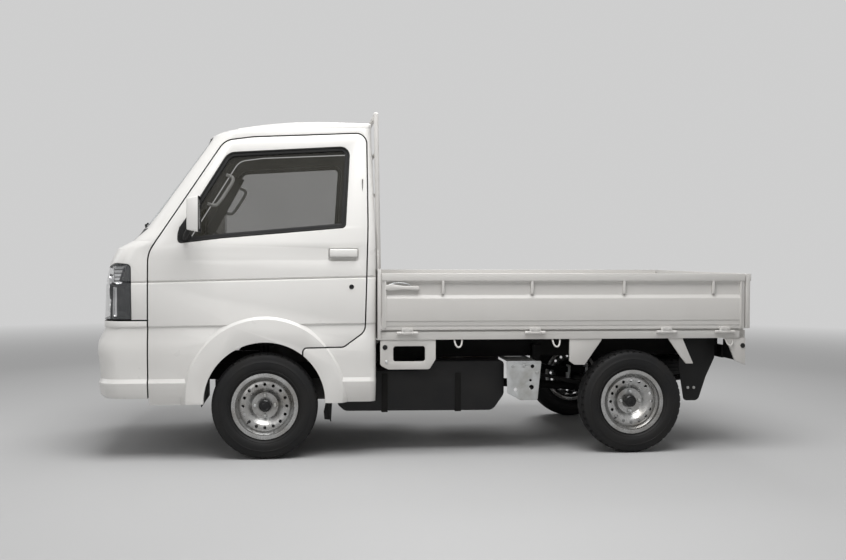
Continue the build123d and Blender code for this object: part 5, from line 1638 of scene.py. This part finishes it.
@dataclass
class LoadBed(Assembly):
    """Drop-side bed: gates, ribs, latches, hinges, hooks and floor."""

    rib_places: tuple[float, ...] = (-0.059, -0.522, -1.009, -1.490)
    hook_places: tuple[float, ...] = (-0.141, -0.654, -1.586)
    emboss_places: tuple[float, ...] = (0.237, -1.640)
    hinge_places: tuple[float, ...] = (0.1235, -0.5385, -1.2385, -1.5545)
    lever: tuple[Span, ...] = (
        (0.060, 0.861), (0.066, 0.853), (0.150, 0.857), (0.215, 0.850), (0.236, 0.857),
        (0.236, 0.880), (0.205, 0.886), (0.145, 0.876), (0.068, 0.876),
    )
    lever_y: float = 0.724
    hook: tuple[tuple[float, float, float], ...] = (
        (0.020, 0.700, 0.603), (0.019, 0.712, 0.588), (0.013, 0.722, 0.567), (0.0, 0.726, 0.560),
        (-0.013, 0.722, 0.567), (-0.019, 0.712, 0.588), (-0.020, 0.700, 0.603),
    )
    rib_half: float = 0.007
    rib_height: Span = (0.835, 0.906)
    floor_ribs: int = 15

    def build(self) -> None:
        """Dress the bed's nodes and add its fittings."""
        for node in ("left_side_gate", "right_side_gate", "tail_gate", "bed_front_wall"):
            self.skin(node, *BED, 0.0018)
        for node in ("bed_side_rails", "bed_brackets", "rear_sill"):
            self.skin(node, *BED, 0.0012)
        self.skin("guard_frame", *BED, 0.001)
        self.dress("bed_beams", "bed_paint")
        self.dress("bed_floor", "bed_paint")
        for side, sign in SIDES.items():
            self.gate_fittings(side, sign, f"{side}_side_gate")
            self.rail_fittings(side, sign)
        self.tail_fittings()
        self.floor()
        self.front_wall()

    def gate_fittings(self, side: str, sign: float, body: str) -> None:
        """Ribs, emboss lines, hinge straps, latch and inner beads of a side gate.

        Args:
            side: left or right.
            sign: 1 on the left and -1 on the right.
            body: body that carries them.
        """
        pieces = []
        for index, place in enumerate(self.rib_places):
            along = (place - self.rib_half, place + self.rib_half)
            rib = block(f"{side}_rib_{index}", along, (0.715, 0.7325), self.rib_height, sign)
            press(rib, (0, sign, 0), 0.003, 0.002)
            pieces.append(round_off(rib, 0.0015))
        for index, place in enumerate(self.emboss_places):
            along = (place - 0.004, place + 0.004)
            line = block(f"{side}_emboss_{index}", along, (0.722, 0.7335), (0.662, 0.900), sign)
            press(line, (0, sign, 0), 0.001, 0.001)
            pieces.append(round_off(line, 0.001))
        for index, place in enumerate(self.hinge_places):
            pieces += self.strap(f"{side}_strap_{index}", place, sign)
        self.finish(join(f"{side}_gate_fittings", pieces), *BED, body)
        self.latch(side, sign, body)
        for index, height in enumerate((0.72, 0.83)):
            tall = (height, height + 0.045)
            bead = block(f"{side}_inner_bead_{index}", (-1.60, 0.19), (0.703, 0.7056), tall, sign)
            self.pressed(bead, (0, -sign, 0), 0.008, 0.0015, 0.001, *BED, body)

    def strap(self, name: str, place: float, sign: float) -> list[bpy.types.Object]:
        """Hinge strap with two bolts.

        Args:
            name: name of the piece.
            place: place along the truck.
            sign: 1 on the left and -1 on the right.

        Returns:
            The strap and its bolts.
        """
        strap = block(name, (place - 0.024, place + 0.024), (0.727, 0.7345), (0.640, 0.663), sign)
        press(strap, (0, sign, 0), 0.004, 0.0008)
        pieces = [round_off(strap, 0.0012)]
        for shift in (-0.015, 0.015):
            spot = (place + shift, sign * 0.7350, 0.653)
            dome = [(0.0, 0.006), (0.003, 0.0055), (0.004, 0.0)]
            pieces.append(lathe(f"{name}_bolt", dome, spot, (0, sign, 0), 6))
        return pieces

    def latch(self, side: str, sign: float, body: str) -> None:
        """Lever that locks the gate to the bed's front post.

        Args:
            side: left or right.
            sign: 1 on the left and -1 on the right.
            body: body that carries them.
        """
        lever = plate(
            f"{side}_latch_lever",
            [(x, sign * self.lever_y, z) for x, z in self.lever],
            (0.0, sign * 0.010, 0.0),
        )
        self.pressed(lever, (0, sign, 0), 0.0035, 0.002, 0.002, *BED, body)
        pivot = lathe(
            f"{side}_latch_pivot",
            [(0.0, 0.0), (0.0, 0.013), (0.008, 0.013), (0.011, 0.009), (0.012, 0.0)],
            (0.222, sign * 0.7235, 0.868),
            (0, sign, 0),
            20,
        )
        self.finish(pivot, *ZINC, body)
        link = tube(
            f"{side}_latch_link",
            [
                (0.222, sign * 0.730, 0.879), (0.200, sign * 0.732, 0.891),
                (0.150, sign * 0.731, 0.892), (0.110, sign * 0.730, 0.884),
                (0.110, sign * 0.726, 0.874),
            ],
            0.003,
        )
        self.finish(link, *ZINC, body)

    def rail_fittings(self, side: str, sign: float) -> None:
        """Rope hooks under the rail, and round heads on the brackets.

        Args:
            side: left or right.
            sign: 1 on the left and -1 on the right.
        """
        for index, place in enumerate(self.hook_places):
            line = [(place + shift, sign * y, z) for shift, y, z in self.hook]
            self.finish(tube(f"{side}_rope_hook_{index}", line, 0.0045), *BED)
        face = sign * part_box("bed_brackets")[1].y
        for name, x, z, radius, finish in (
            ("cap", 0.236, 0.562, 0.013, "black_trim"),
            ("bolt", 0.228, 0.488, 0.008, "zinc"),
            ("rear_dot", -1.660, 0.560, 0.013, "black_trim"),
        ):
            dot = lathe(
                f"{side}_bracket_{name}",
                [(0.0, 0.0), (0.0, radius), (0.004, radius * 0.9), (0.006, radius * 0.55), (0.005, 0.0)],
                (x, face, z),
                (0, sign, 0),
                20,
            )
            self.finish(dot, finish, Slot.GALVANISED)

    def tail_fittings(self) -> None:
        """Ribs and latches of the tail gate, and the blank rear plate."""
        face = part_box("tail_gate")[0].x + 0.005
        for index, across in enumerate((-0.50, -0.17, 0.17, 0.50)):
            wide = (across - self.rib_half, across + self.rib_half)
            rib = block(f"tail_rib_{index}", (face - 0.0005, face + 0.014), wide, self.rib_height)
            self.pressed(rib, (-1, 0, 0), 0.003, 0.001, 0.0015, *BED, Body.TAIL_GATE)
        for side, sign in SIDES.items():
            along = (face - 0.002, face + 0.012)
            latch = block(f"tail_latch_{side}", along, (0.60, 0.700), (0.848, 0.884), sign)
            self.pressed(latch, (-1, 0, 0), 0.006, -0.003, 0.003, *BED, Body.TAIL_GATE)
            grip = tube(
                f"tail_latch_grip_{side}",
                [
                    (face + 0.002, sign * 0.615, 0.866), (face - 0.004, sign * 0.625, 0.866),
                    (face - 0.004, sign * 0.685, 0.866), (face + 0.002, sign * 0.694, 0.866),
                ],
                0.004,
            )
            self.finish(grip, *ZINC, Body.TAIL_GATE)
        blank = box("rear_plate", (-1.683, -0.165, 0.405), (-1.679, 0.165, 0.570))
        self.pressed(blank, (-1, 0, 0), 0.006, -0.0012, 0.001, "plate_white", Slot.BODY_PAINT)
        holder = box("rear_plate_holder", (-1.680, -0.10, 0.47), (-1.660, 0.10, 0.53))
        self.pressed(holder, (1, 0, 0), 0.01, 0.002, 0.003, *FRAME)

    def floor(self) -> None:
        """Pressed ribs along the load floor, modelled once and copied."""
        low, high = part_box("bed_floor")
        span = (high.y - low.y) / self.floor_ribs
        first = block(
            "floor_rib_0",
            (low.x + 0.05, high.x - 0.03),
            (low.y + span * 0.22, low.y + span * 0.78),
            (high.z - 0.003, high.z + 0.003),
        )
        press(first, (0, 0, 1), span * 0.1, 0.002)
        round_off(first, 0.0015)
        ribs = [first]
        for index in range(1, self.floor_ribs):
            ribs.append(copied(first, f"floor_rib_{index}", (0.0, span * index, 0.0)))
        self.finish(join("floor_ribs", ribs), *BED)

    def front_wall(self) -> None:
        """Pressed fields on the bed's front wall and the feet of the guard frame."""
        low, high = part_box("bed_front_wall")
        for index, middle in enumerate((-0.46, 0.0, 0.46)):
            along = (low.x - 0.004, low.x + 0.002)
            wide = (middle - 0.19, middle + 0.19)
            field_plate = block(f"front_wall_field_{index}", along, wide, (0.70, 0.92))
            self.pressed(field_plate, (-1, 0, 0), 0.02, 0.003, 0.002, *BED)
        for side, sign in SIDES.items():
            pair = sorted((sign * 0.625, sign * 0.690))
            foot = plate(
                f"{side}_guard_foot",
                [
                    (high.x - 0.001, pair[0], 0.93), (high.x - 0.001, pair[1], 0.93),
                    (high.x - 0.001, pair[1], 1.00), (high.x - 0.001, sign * 0.655 + 0.012, 1.06),
                    (high.x - 0.001, sign * 0.655 - 0.012, 1.06), (high.x - 0.001, pair[0], 1.00),
                ],
                (-0.005, 0.0, 0.0),
            )
            self.pressed(foot, (1, 0, 0), 0.004, 0.001, 0.0015, *BED)


@dataclass
class Seats(Assembly):
    """Two padded seats, filled by a cloth simulation, with sewn channels and belts."""

    voxel: float = 0.009
    shrink: float = 0.012
    pressure: float = 4.0
    swell: float = 0.016
    steps: int = 20
    channel: float = 0.006
    channel_half: float = 0.02
    channel_place: float = 0.075
    inner_edge: float = 0.095

    def build(self) -> None:
        """Make the left seat's pads, sew them and mirror them to the right."""
        for node in ("seat_cushions", "seat_backs"):
            pad = self.solid(node)
            self.fill(pad)
            self.sew(pad, node)
            modify(pad, "SUBSURF", levels=1, render_levels=1)
            choose(pad)
            bpy.ops.object.shade_smooth()
            twin = mirrored(pad, f"right_{node}_pad")
            for piece in (pad, twin):
                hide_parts(node)
                self.finish(piece, "seat_cloth", Slot.SEAT_CLOTH)
        self.belts()

    def solid(self, node: str) -> bpy.types.Object:
        """Left half of a seat node, drawn in a little and remeshed evenly.

        Args:
            node: CAD node of the seats.

        Returns:
            The pad before it is filled.
        """
        piece = self.merged(node, f"left_{node}_pad")
        select_faces(piece, lambda face: face.calc_center_median().y < 0)
        bpy.ops.mesh.delete(type="FACE")
        close_edit()
        low = Vector(min(corner.co[axis] for corner in piece.data.vertices) for axis in range(3))
        high = Vector(max(corner.co[axis] for corner in piece.data.vertices) for axis in range(3))
        middle, size = (low + high) / 2, high - low
        for corner in piece.data.vertices:
            for axis in range(3):
                inset = 1.0 - 2.0 * self.shrink / size[axis]
                corner.co[axis] = middle[axis] + (corner.co[axis] - middle[axis]) * inset
        modify(piece, "BEVEL", width=0.022, segments=3, limit_method="ANGLE", angle_limit=SMOOTH_ANGLE)
        return modify(piece, "REMESH", mode="VOXEL", voxel_size=self.voxel)

    def fill(self, piece: bpy.types.Object) -> None:
        """Blow the pad up as cloth and hold each point near its start.

        Args:
            piece: remeshed pad.
        """
        start = [corner.co.copy() for corner in piece.data.vertices]
        choose(piece)
        modifier = piece.modifiers.new("Filling", "CLOTH")
        modifier.settings.use_pressure = True
        modifier.settings.uniform_pressure_force = self.pressure
        modifier.settings.effector_weights.gravity = 0.0
        modifier.point_cache.frame_start = 1
        modifier.point_cache.frame_end = self.steps
        for frame in range(1, self.steps + 1):
            bpy.context.scene.frame_set(frame)
        bpy.ops.object.modifier_apply(modifier=modifier.name)
        bpy.context.scene.frame_set(1)
        for corner, place in zip(piece.data.vertices, start):
            move = corner.co - place
            if move.length > self.swell:
                corner.co = place + move.normalized() * self.swell

    def sew(self, piece: bpy.types.Object, node: str) -> None:
        """Press the sewn channels into a pad's face.

        Args:
            piece: filled pad.
            node: CAD node of the seats.
        """
        low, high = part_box(node)
        seat_middle = (high.y + self.inner_edge) / 2
        lines = (seat_middle - self.channel_place, seat_middle + self.channel_place)
        for corner in piece.data.vertices:
            gap = min(abs(corner.co.y - line) for line in lines)
            if gap > self.channel_half:
                continue
            depth = self.channel * math.cos(gap / self.channel_half * math.pi / 2) ** 2
            if node == "seat_cushions" and corner.co.z > low.z + 0.06:
                corner.co.z -= depth
            elif node == "seat_backs" and corner.normal.x > 0.3:
                corner.co.x -= depth

    def belts(self) -> None:
        """Belt strap and buckle beside each seat."""
        for side, sign in SIDES.items():
            strap = tube(
                f"{side}_belt",
                [
                    (0.345, sign * 0.655, 1.42), (0.350, sign * 0.650, 1.20),
                    (0.352, sign * 0.648, 0.95), (0.356, sign * 0.645, 0.72),
                ],
                0.012,
                2,
            )
            back, forth = Matrix.Translation((-0.35, 0, 0)), Matrix.Translation((0.35, 0, 0))
            strap.data.transform(forth @ Matrix.Scale(0.2, 4, (1, 0, 0)) @ back)
            self.finish(strap, "cabin_dark", Slot.SEAT_CLOTH)
            wide = (sign * 0.075 - 0.011, sign * 0.075 + 0.011)
            buckle = block(f"{side}_buckle", (0.52, 0.548), wide, (0.77, 0.845))
            self.pressed(buckle, (0, 0, 1), 0.004, -0.003, 0.003, *DARK)


@dataclass
class Cabin(Assembly):
    """Dashboard, steering wheel, levers, pedals, visors and grab handles."""

    driver: float = -0.33

    def build(self) -> None:
        """Dress the inside nodes and add the small controls."""
        self.skin("dashboard", *DARK, 0.006)
        self.skin("steering_wheel", "cabin_dark", Slot.BLACK_PLASTIC, 0.0015)
        self.dress("steering_column", "cabin_dark")
        self.dress("cab_floor", "cabin_grey")
        self.dash_fittings()
        self.levers()
        self.roof_fittings()

    def dash_fittings(self) -> None:
        """Instrument hood, vents, radio blank and glove box."""
        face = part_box("dashboard")[0].x
        wide = (self.driver - 0.16, self.driver + 0.16)
        hood = block("instrument_hood", (face - 0.03, face + 0.11), wide, (1.075, 1.150))
        select_faces(hood, facing((0, 0, 1)))
        bpy.ops.transform.resize(value=(0.72, 0.82, 1.0), center_override=(face + 0.06, self.driver, 1.15))
        close_edit()
        press(hood, (-1, 0, 0), 0.012, -0.025, 0.6)
        self.finish(round_off(hood, 0.006, 3), *DARK)
        for index, across in enumerate((-0.56, -0.07, 0.07, 0.56)):
            wide = (across - 0.055, across + 0.055)
            vent = block(f"dash_vent_{index}", (face - 0.006, face + 0.02), wide, (0.985, 1.040))
            press(vent, (-1, 0, 0), 0.006, -0.008)
            pieces = [round_off(vent, 0.003)]
            for row in range(4):
                height = 0.996 + row * 0.011
                slat = block(
                    f"vent_slat_{index}_{row}",
                    (face - 0.004, face + 0.006),
                    (across - 0.048, across + 0.048),
                    (height - 0.0015, height + 0.0015),
                )
                press(slat, (-1, 0, 0), 0.0004, 0.0006)
                pieces.append(slat)
            self.finish(join(f"dash_vent_{index}", pieces), "gloss_black", Slot.INTERIOR_PLASTIC)
        panel = box("centre_panel", (face - 0.004, -0.10, 0.915), (face + 0.01, 0.10, 0.975))
        self.pressed(panel, (-1, 0, 0), 0.004, -0.002, 0.002, "gloss_black", Slot.INTERIOR_PLASTIC)
        for index in range(3):
            knob = lathe(
                f"heater_knob_{index}",
                [(0.0, 0.0), (0.0, 0.018), (0.016, 0.015), (0.019, 0.012), (0.019, 0.0)],
                (face - 0.002, -0.06 + 0.06 * index, 0.945),
                (-1, 0, 0),
                24,
            )
            self.finish(knob, "cabin_grey", Slot.INTERIOR_PLASTIC)
        glove = box("glove_box", (face - 0.004, 0.18, 0.915), (face + 0.01, 0.52, 0.975))
        self.pressed(glove, (-1, 0, 0), 0.008, 0.002, 0.003, "cabin_grey", Slot.INTERIOR_PLASTIC)

    def levers(self) -> None:
        """Gear lever, hand brake, stalks and pedals."""
        line = [(1.30, -0.04, 0.88), (1.27, -0.04, 0.90), (1.24, -0.045, 0.93), (1.225, -0.05, 0.965)]
        stick = tube("gear_lever", line, 0.007)
        self.finish(stick, "zinc", Slot.BLACK_PLASTIC)
        ball = [(-0.022, 0.0), (-0.022, 0.012), (0.0, 0.020), (0.016, 0.018), (0.026, 0.010), (0.028, 0.0)]
        knob = lathe("gear_knob", ball, (1.222, -0.051, 0.975), (-0.3, -0.05, 1), 24)
        self.finish(knob, "cabin_dark", Slot.BLACK_PLASTIC)
        folds = [
            (0.0, 0.0), (0.0, 0.045), (0.012, 0.040), (0.016, 0.030), (0.026, 0.027),
            (0.030, 0.018), (0.040, 0.014), (0.044, 0.0),
        ]
        gaiter = lathe("gear_gaiter", folds, (1.345, -0.04, 0.862), (-0.8, 0, 0.6), 24)
        self.finish(gaiter, *SEAL)
        line = [(0.62, -0.02, 0.70), (0.66, -0.02, 0.75), (0.75, -0.02, 0.80), (0.86, -0.02, 0.83)]
        brake = tube("hand_brake", line, 0.011)
        self.finish(brake, "cabin_dark", Slot.BLACK_PLASTIC)
        for index, across in enumerate((-0.24, -0.33, -0.42)):
            pad = box(f"pedal_{index}", (1.43, across - 0.028, 0.575), (1.445, across + 0.028, 0.635))
            press(pad, (-1, 0, 0), 0.004, 0.003)
            line = [(x, across, z) for x, z in ((1.44, 0.62), (1.46, 0.68), (1.49, 0.76), (1.50, 0.86))]
            arm = tube(f"pedal_arm_{index}", line, 0.006)
            pedal = join(f"pedal_{index}", [round_off(pad, 0.003), arm])
            self.finish(pedal, "cabin_dark", Slot.BLACK_PLASTIC)
        for side, sign in SIDES.items():
            stalk = tube(
                f"{side}_stalk",
                [
                    (1.29, self.driver + sign * 0.02, 1.028),
                    (1.285, self.driver + sign * 0.07, 1.035),
                    (1.275, self.driver + sign * 0.12, 1.045),
                ],
                0.006,
            )
            self.finish(stalk, "cabin_dark", Slot.BLACK_PLASTIC)

    def roof_fittings(self) -> None:
        """Sun visors under the roof and grab handles on the front pillars."""
        for side, sign in SIDES.items():
            visor = block(f"{side}_visor", (0.93, 1.06), (0.10, 0.46), (1.648, 1.660), sign)
            self.pressed(visor, (0, 0, -1), 0.012, 0.002, 0.005, "lining", Slot.INTERIOR_PLASTIC, segments=3)
            trim = plate(
                f"{side}_pillar_trim",
                [
                    (1.262, sign * 0.606, 1.170), (1.062, sign * 0.572, 1.512),
                    (1.012, sign * 0.572, 1.494), (1.196, sign * 0.606, 1.160),
                ],
                (0, -sign * 0.018, 0),
            )
            self.finish(round_off(trim, 0.005, 3), *DARK)
            grip = tube(
                f"{side}_pillar_grip",
                [
                    (1.134, sign * 0.590, 1.292), (1.100, sign * 0.594, 1.278),
                    (1.076, sign * 0.596, 1.296), (1.036, sign * 0.592, 1.358),
                    (1.004, sign * 0.588, 1.410), (1.010, sign * 0.584, 1.432),
                    (1.040, sign * 0.580, 1.440),
                ],
                0.009,
            )
            self.finish(grip, "grip_grey", Slot.INTERIOR_PLASTIC)


@dataclass
class Underbody(Assembly):
    """Frame, axles, springs, tank and the small parts hung from them."""

    finishes: tuple[tuple[str, str], ...] = (
        ("chassis_frame", "frame_black"), ("engine", "cast"), ("propeller_shaft", "frame_black"),
        ("rear_axle", "frame_black"), ("leaf_springs", "frame_black"),
        ("front_arms", "frame_black"), ("front_struts", "frame_black"), ("left_knuckle", "cast"),
        ("right_knuckle", "cast"), ("wheel_liners", "black_trim"), ("battery_box", "black_trim"),
        ("exhaust", "exhaust"),
    )
    stay: tuple[Span, ...] = (
        (0.500, 0.30), (0.528, 0.30), (0.545, 0.225), (0.541, 0.183), (0.506, 0.180),
    )
    stay_y: float = 0.602
    plate_holes: tuple[tuple[float, float, float], ...] = (
        (-0.546, 0.451, 0.010), (-0.541, 0.341, 0.013), (-0.536, 0.378, 0.007),
        (-0.455, 0.330, 0.009),
    )
    axle_x: float = -1.0625

    def build(self) -> None:
        """Dress the nodes and add straps, bolts and spring clips."""
        for node, finish in self.finishes:
            self.dress(node, finish)
        self.skin("fuel_tank", *TRIM, 0.006)
        self.skin("mud_guards", *TRIM, 0.001)
        self.skin("rear_bumper", *FRAME, 0.003)
        self.side_plate()
        self.tank_straps()
        self.spring_clips()
        self.flap_bolts()
        self.splash_shields()

    def splash_shields(self) -> None:
        """Black plates that close the front wheel spaces before and behind the tyre."""
        for side, sign in SIDES.items():
            for name, x, low_y, high_y, foot, head in (
                ("front_shield", 1.1585, 0.396, 0.664, 0.262, 0.42),
                ("front_inner_shield", 1.1585, 0.20, 0.396, 0.262, 0.371),
                ("rear_shield", 0.5205, 0.396, 0.565, 0.232, 0.42),
                ("rear_inner_shield", 0.5205, 0.335, 0.396, 0.262, 0.371),
            ):
                shield = block(f"{side}_{name}", (x, x + 0.004), (low_y, high_y), (foot, head), sign)
                self.finish(round_off(shield, 0.0015), *TRIM)
            stay = plate(
                f"{side}_flap_stay",
                [(x, sign * self.stay_y, z) for x, z in self.stay],
                (0.0, sign * 0.004, 0.0),
            )
            self.finish(round_off(stay, 0.0015), *TRIM)

    def side_plate(self) -> None:
        """Galvanised plate with round holes and bolts."""
        piece = self.merged("side_plate", "side_plate_skin")
        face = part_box("side_plate")[1].y
        for x, z, radius in self.plate_holes:
            cutter = rod("plate_hole", (x, face - 0.02, z), (x, face + 0.02, z), radius, 24)
            modify(piece, "BOOLEAN", object=cutter, operation="DIFFERENCE", solver="EXACT")
            bpy.data.objects.remove(cutter)
        round_off(piece, 0.0006)
        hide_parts("side_plate")
        self.finish(piece, *ZINC)
        for index, (x, z) in enumerate(((-0.44, 0.455), (-0.57, 0.42), (-0.50, 0.455))):
            head = [(0.0, 0.0), (0.0, 0.009), (0.005, 0.009), (0.007, 0.006), (0.007, 0.0)]
            bolt = lathe(f"side_plate_bolt_{index}", head, (x, face, z), (0, 1, 0), 6)
            self.finish(bolt, *ZINC)

    def tank_straps(self) -> None:
        """Two bands round the tank."""
        low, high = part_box("fuel_tank")
        for index, share in enumerate((0.28, 0.72)):
            x = low.x + (high.x - low.x) * share
            band = block(
                f"tank_band_{index}",
                (x - 0.016, x + 0.016),
                (low.y + 0.02, high.y + 0.004),
                (low.z - 0.003, low.z + 0.20),
            )
            select_faces(
                band,
                lambda face: abs(face.normal.x) > 0.8 or face.normal.z > 0.8 or face.normal.y < -0.8,
            )
            bpy.ops.mesh.delete(type="FACE")
            close_edit()
            modify(band, "SOLIDIFY", thickness=0.003, offset=-1.0)
            self.finish(round_off(band, 0.001), *FRAME)

    def spring_clips(self) -> None:
        """Clips round the rear springs, before and behind the axle."""
        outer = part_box("leaf_springs")[1].y
        wide = (outer + 0.004, outer - 0.056)
        for side, sign in SIDES.items():
            for index, shift in enumerate((-0.055, 0.055)):
                x = self.axle_x + shift
                along = (x - 0.008, x + 0.008)
                clip = block(f"{side}_spring_clip_{index}", along, wide, (0.225, 0.345), sign)
                self.pressed(clip, (0, sign, 0), 0.003, 0.001, 0.003, *ZINC)

    def flap_bolts(self) -> None:
        """Bolts on the mud guards behind the rear wheels."""
        for side, sign in SIDES.items():
            for index, (x, z) in enumerate(((-1.415, 0.322), (-1.448, 0.322))):
                head = [(0.0, 0.0), (0.0, 0.008), (0.003, 0.0075), (0.005, 0.0)]
                bolt = lathe(f"{side}_flap_bolt_{index}", head, (x, sign * 0.566, z), (0, sign, 0), 12)
                self.finish(bolt, *ZINC)


@dataclass(frozen=True)
class FloorFinish:
    """Pale floor that fades into the background with distance."""

    name: str = "studio_floor"
    colour: Colour = (0.5, 0.5, 0.5)
    far: float = 0.62
    near_edge: float = 5.0
    far_edge: float = 11.0

    def build(self) -> bpy.types.Material:
        """Make the material."""
        tree = ShaderTree(self.name)
        tree.set(Roughness=0.7)
        tree.feed(
            tree.blend(tree.noise((2.0, 2.0, 2.0)), self.colour, tuple(part * 0.98 for part in self.colour)),
            "Base Color",
        )
        length = tree.nodes.new("ShaderNodeVectorMath")
        length.operation = "LENGTH"
        tree.links.new(tree.place.outputs["Object"], length.inputs[0])
        share = tree.fit(length.outputs["Value"], (self.near_edge, self.far_edge), (0.0, 1.0))
        glow = tree.nodes.new("ShaderNodeEmission")
        glow.inputs["Color"].default_value = (self.far, self.far, self.far, 1.0)
        mix = tree.nodes.new("ShaderNodeMixShader")
        tree.links.new(share, mix.inputs["Fac"])
        tree.links.new(tree.shader.outputs["BSDF"], mix.inputs[1])
        tree.links.new(glow.outputs["Emission"], mix.inputs[2])
        tree.links.new(mix.outputs["Shader"], tree.nodes["Material Output"].inputs["Surface"])
        return tree.material


@dataclass
class Studio:
    """Floor, light and camera."""

    camera_place: tuple[float, float, float] = (0.6435, 6.108, 1.034)
    lens: float = 45.28
    yaw: float = 0.1109
    pitch: float = 0.0236
    roll: float = 0.003
    backdrop: float = 0.62
    fill: float = 0.22
    floor_radius: float = 40.0

    def build(self) -> None:
        """Add the floor, the lamps, the world and the camera."""
        self.floor()
        self.lamps()
        self.world()
        self.camera()

    def floor(self) -> None:
        """Round floor under the truck."""
        deselect()
        bpy.ops.mesh.primitive_circle_add(
            vertices=96, radius=self.floor_radius, fill_type="NGON", location=(0.0, 0.0, 0.0)
        )
        floor = bpy.context.object
        floor.name = "studio_floor"
        floor.data.materials.append(FloorFinish(far=self.backdrop).build())

    def lamp(self, name: str, place: Point, target: Point, size: float, power: float) -> None:
        """Square soft lamp.

        Args:
            name: name of the lamp.
            place: where it hangs.
            target: point it looks at.
            size: edge of its square.
            power: power in watts.
        """
        data = bpy.data.lights.new(name, "AREA")
        data.size = size
        data.energy = power
        lamp = bpy.data.objects.new(name, data)
        lamp.location = place
        lamp.rotation_euler = (Vector(target) - Vector(place)).to_track_quat("-Z", "Y").to_euler()
        bpy.context.scene.collection.objects.link(lamp)

    def lamps(self) -> None:
        """Large lamps over the truck and before each side."""
        self.lamp("top_lamp", (0.2, 2.2, 4.7), (0.0, 0.2, 0.9), 3.4, 235.0)
        self.lamp("left_lamp", (3.4, 5.2, 3.0), (0.6, 0.0, 0.9), 2.4, 28.0)
        self.lamp("right_lamp", (-1.0, -4.5, 4.0), (0.0, 0.0, 0.9), 3.0, 110.0)
        self.lamp("front_lamp", (6.5, -0.6, 3.4), (0.0, 0.0, 0.9), 3.0, 45.0)

    def world(self) -> None:
        """Pale background that also fills the shadows."""
        world = bpy.data.worlds.new("studio")
        bpy.context.scene.world = world
        world.use_nodes = True
        nodes, links = world.node_tree.nodes, world.node_tree.links
        shown = nodes["Background"]
        shown.inputs["Color"].default_value = (self.backdrop, self.backdrop, self.backdrop, 1.0)
        fill = nodes.new("ShaderNodeBackground")
        fill.inputs["Color"].default_value = (self.fill, self.fill, self.fill, 1.0)
        path = nodes.new("ShaderNodeLightPath")
        seen = path.outputs["Is Camera Ray"]
        for ray in ("Is Glossy Ray", "Is Transmission Ray"):
            either = nodes.new("ShaderNodeMath")
            either.operation = "MAXIMUM"
            links.new(seen, either.inputs[0])
            links.new(path.outputs[ray], either.inputs[1])
            seen = either.outputs["Value"]
        mix = nodes.new("ShaderNodeMixShader")
        links.new(seen, mix.inputs["Fac"])
        links.new(fill.outputs["Background"], mix.inputs[1])
        links.new(shown.outputs["Background"], mix.inputs[2])
        links.new(mix.outputs["Shader"], nodes["World Output"].inputs["Surface"])
        bpy.context.scene.view_settings.view_transform = "Standard"

    def camera(self) -> None:
        """Camera at the truck's left side, as in the photograph."""
        ahead = Vector(
            (
                -math.sin(self.yaw) * math.cos(self.pitch),
                -math.cos(self.yaw) * math.cos(self.pitch),
                -math.sin(self.pitch),
            )
        )
        right = Vector((-math.cos(self.yaw), math.sin(self.yaw), 0.0))
        up = right.cross(ahead)
        level, tilt = math.cos(self.roll), math.sin(self.roll)
        right, up = right * level + up * tilt, up * level - right * tilt
        data = bpy.data.cameras.new("camera")
        data.lens = self.lens
        data.sensor_width = 36.0
        data.clip_end = 200.0
        camera = bpy.data.objects.new("camera", data)
        turn = Matrix((right, up, -ahead)).transposed().to_4x4()
        camera.matrix_world = Matrix.Translation(self.camera_place) @ turn
        bpy.context.scene.collection.objects.link(camera)
        bpy.context.scene.camera = camera


def main() -> None:
    """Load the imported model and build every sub-assembly."""
    logging.basicConfig(level=logging.INFO, format="%(message)s")
    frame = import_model()
    palette = Palette()
    Studio().build()
    for assembly in (CabShell, Doors, Mirrors, Glazing, Lamps, Wheels, LoadBed, Seats, Cabin, Underbody):
        assembly(frame, palette).build()
    bpy.context.view_layer.update()


if __name__ == "__main__":
    main()
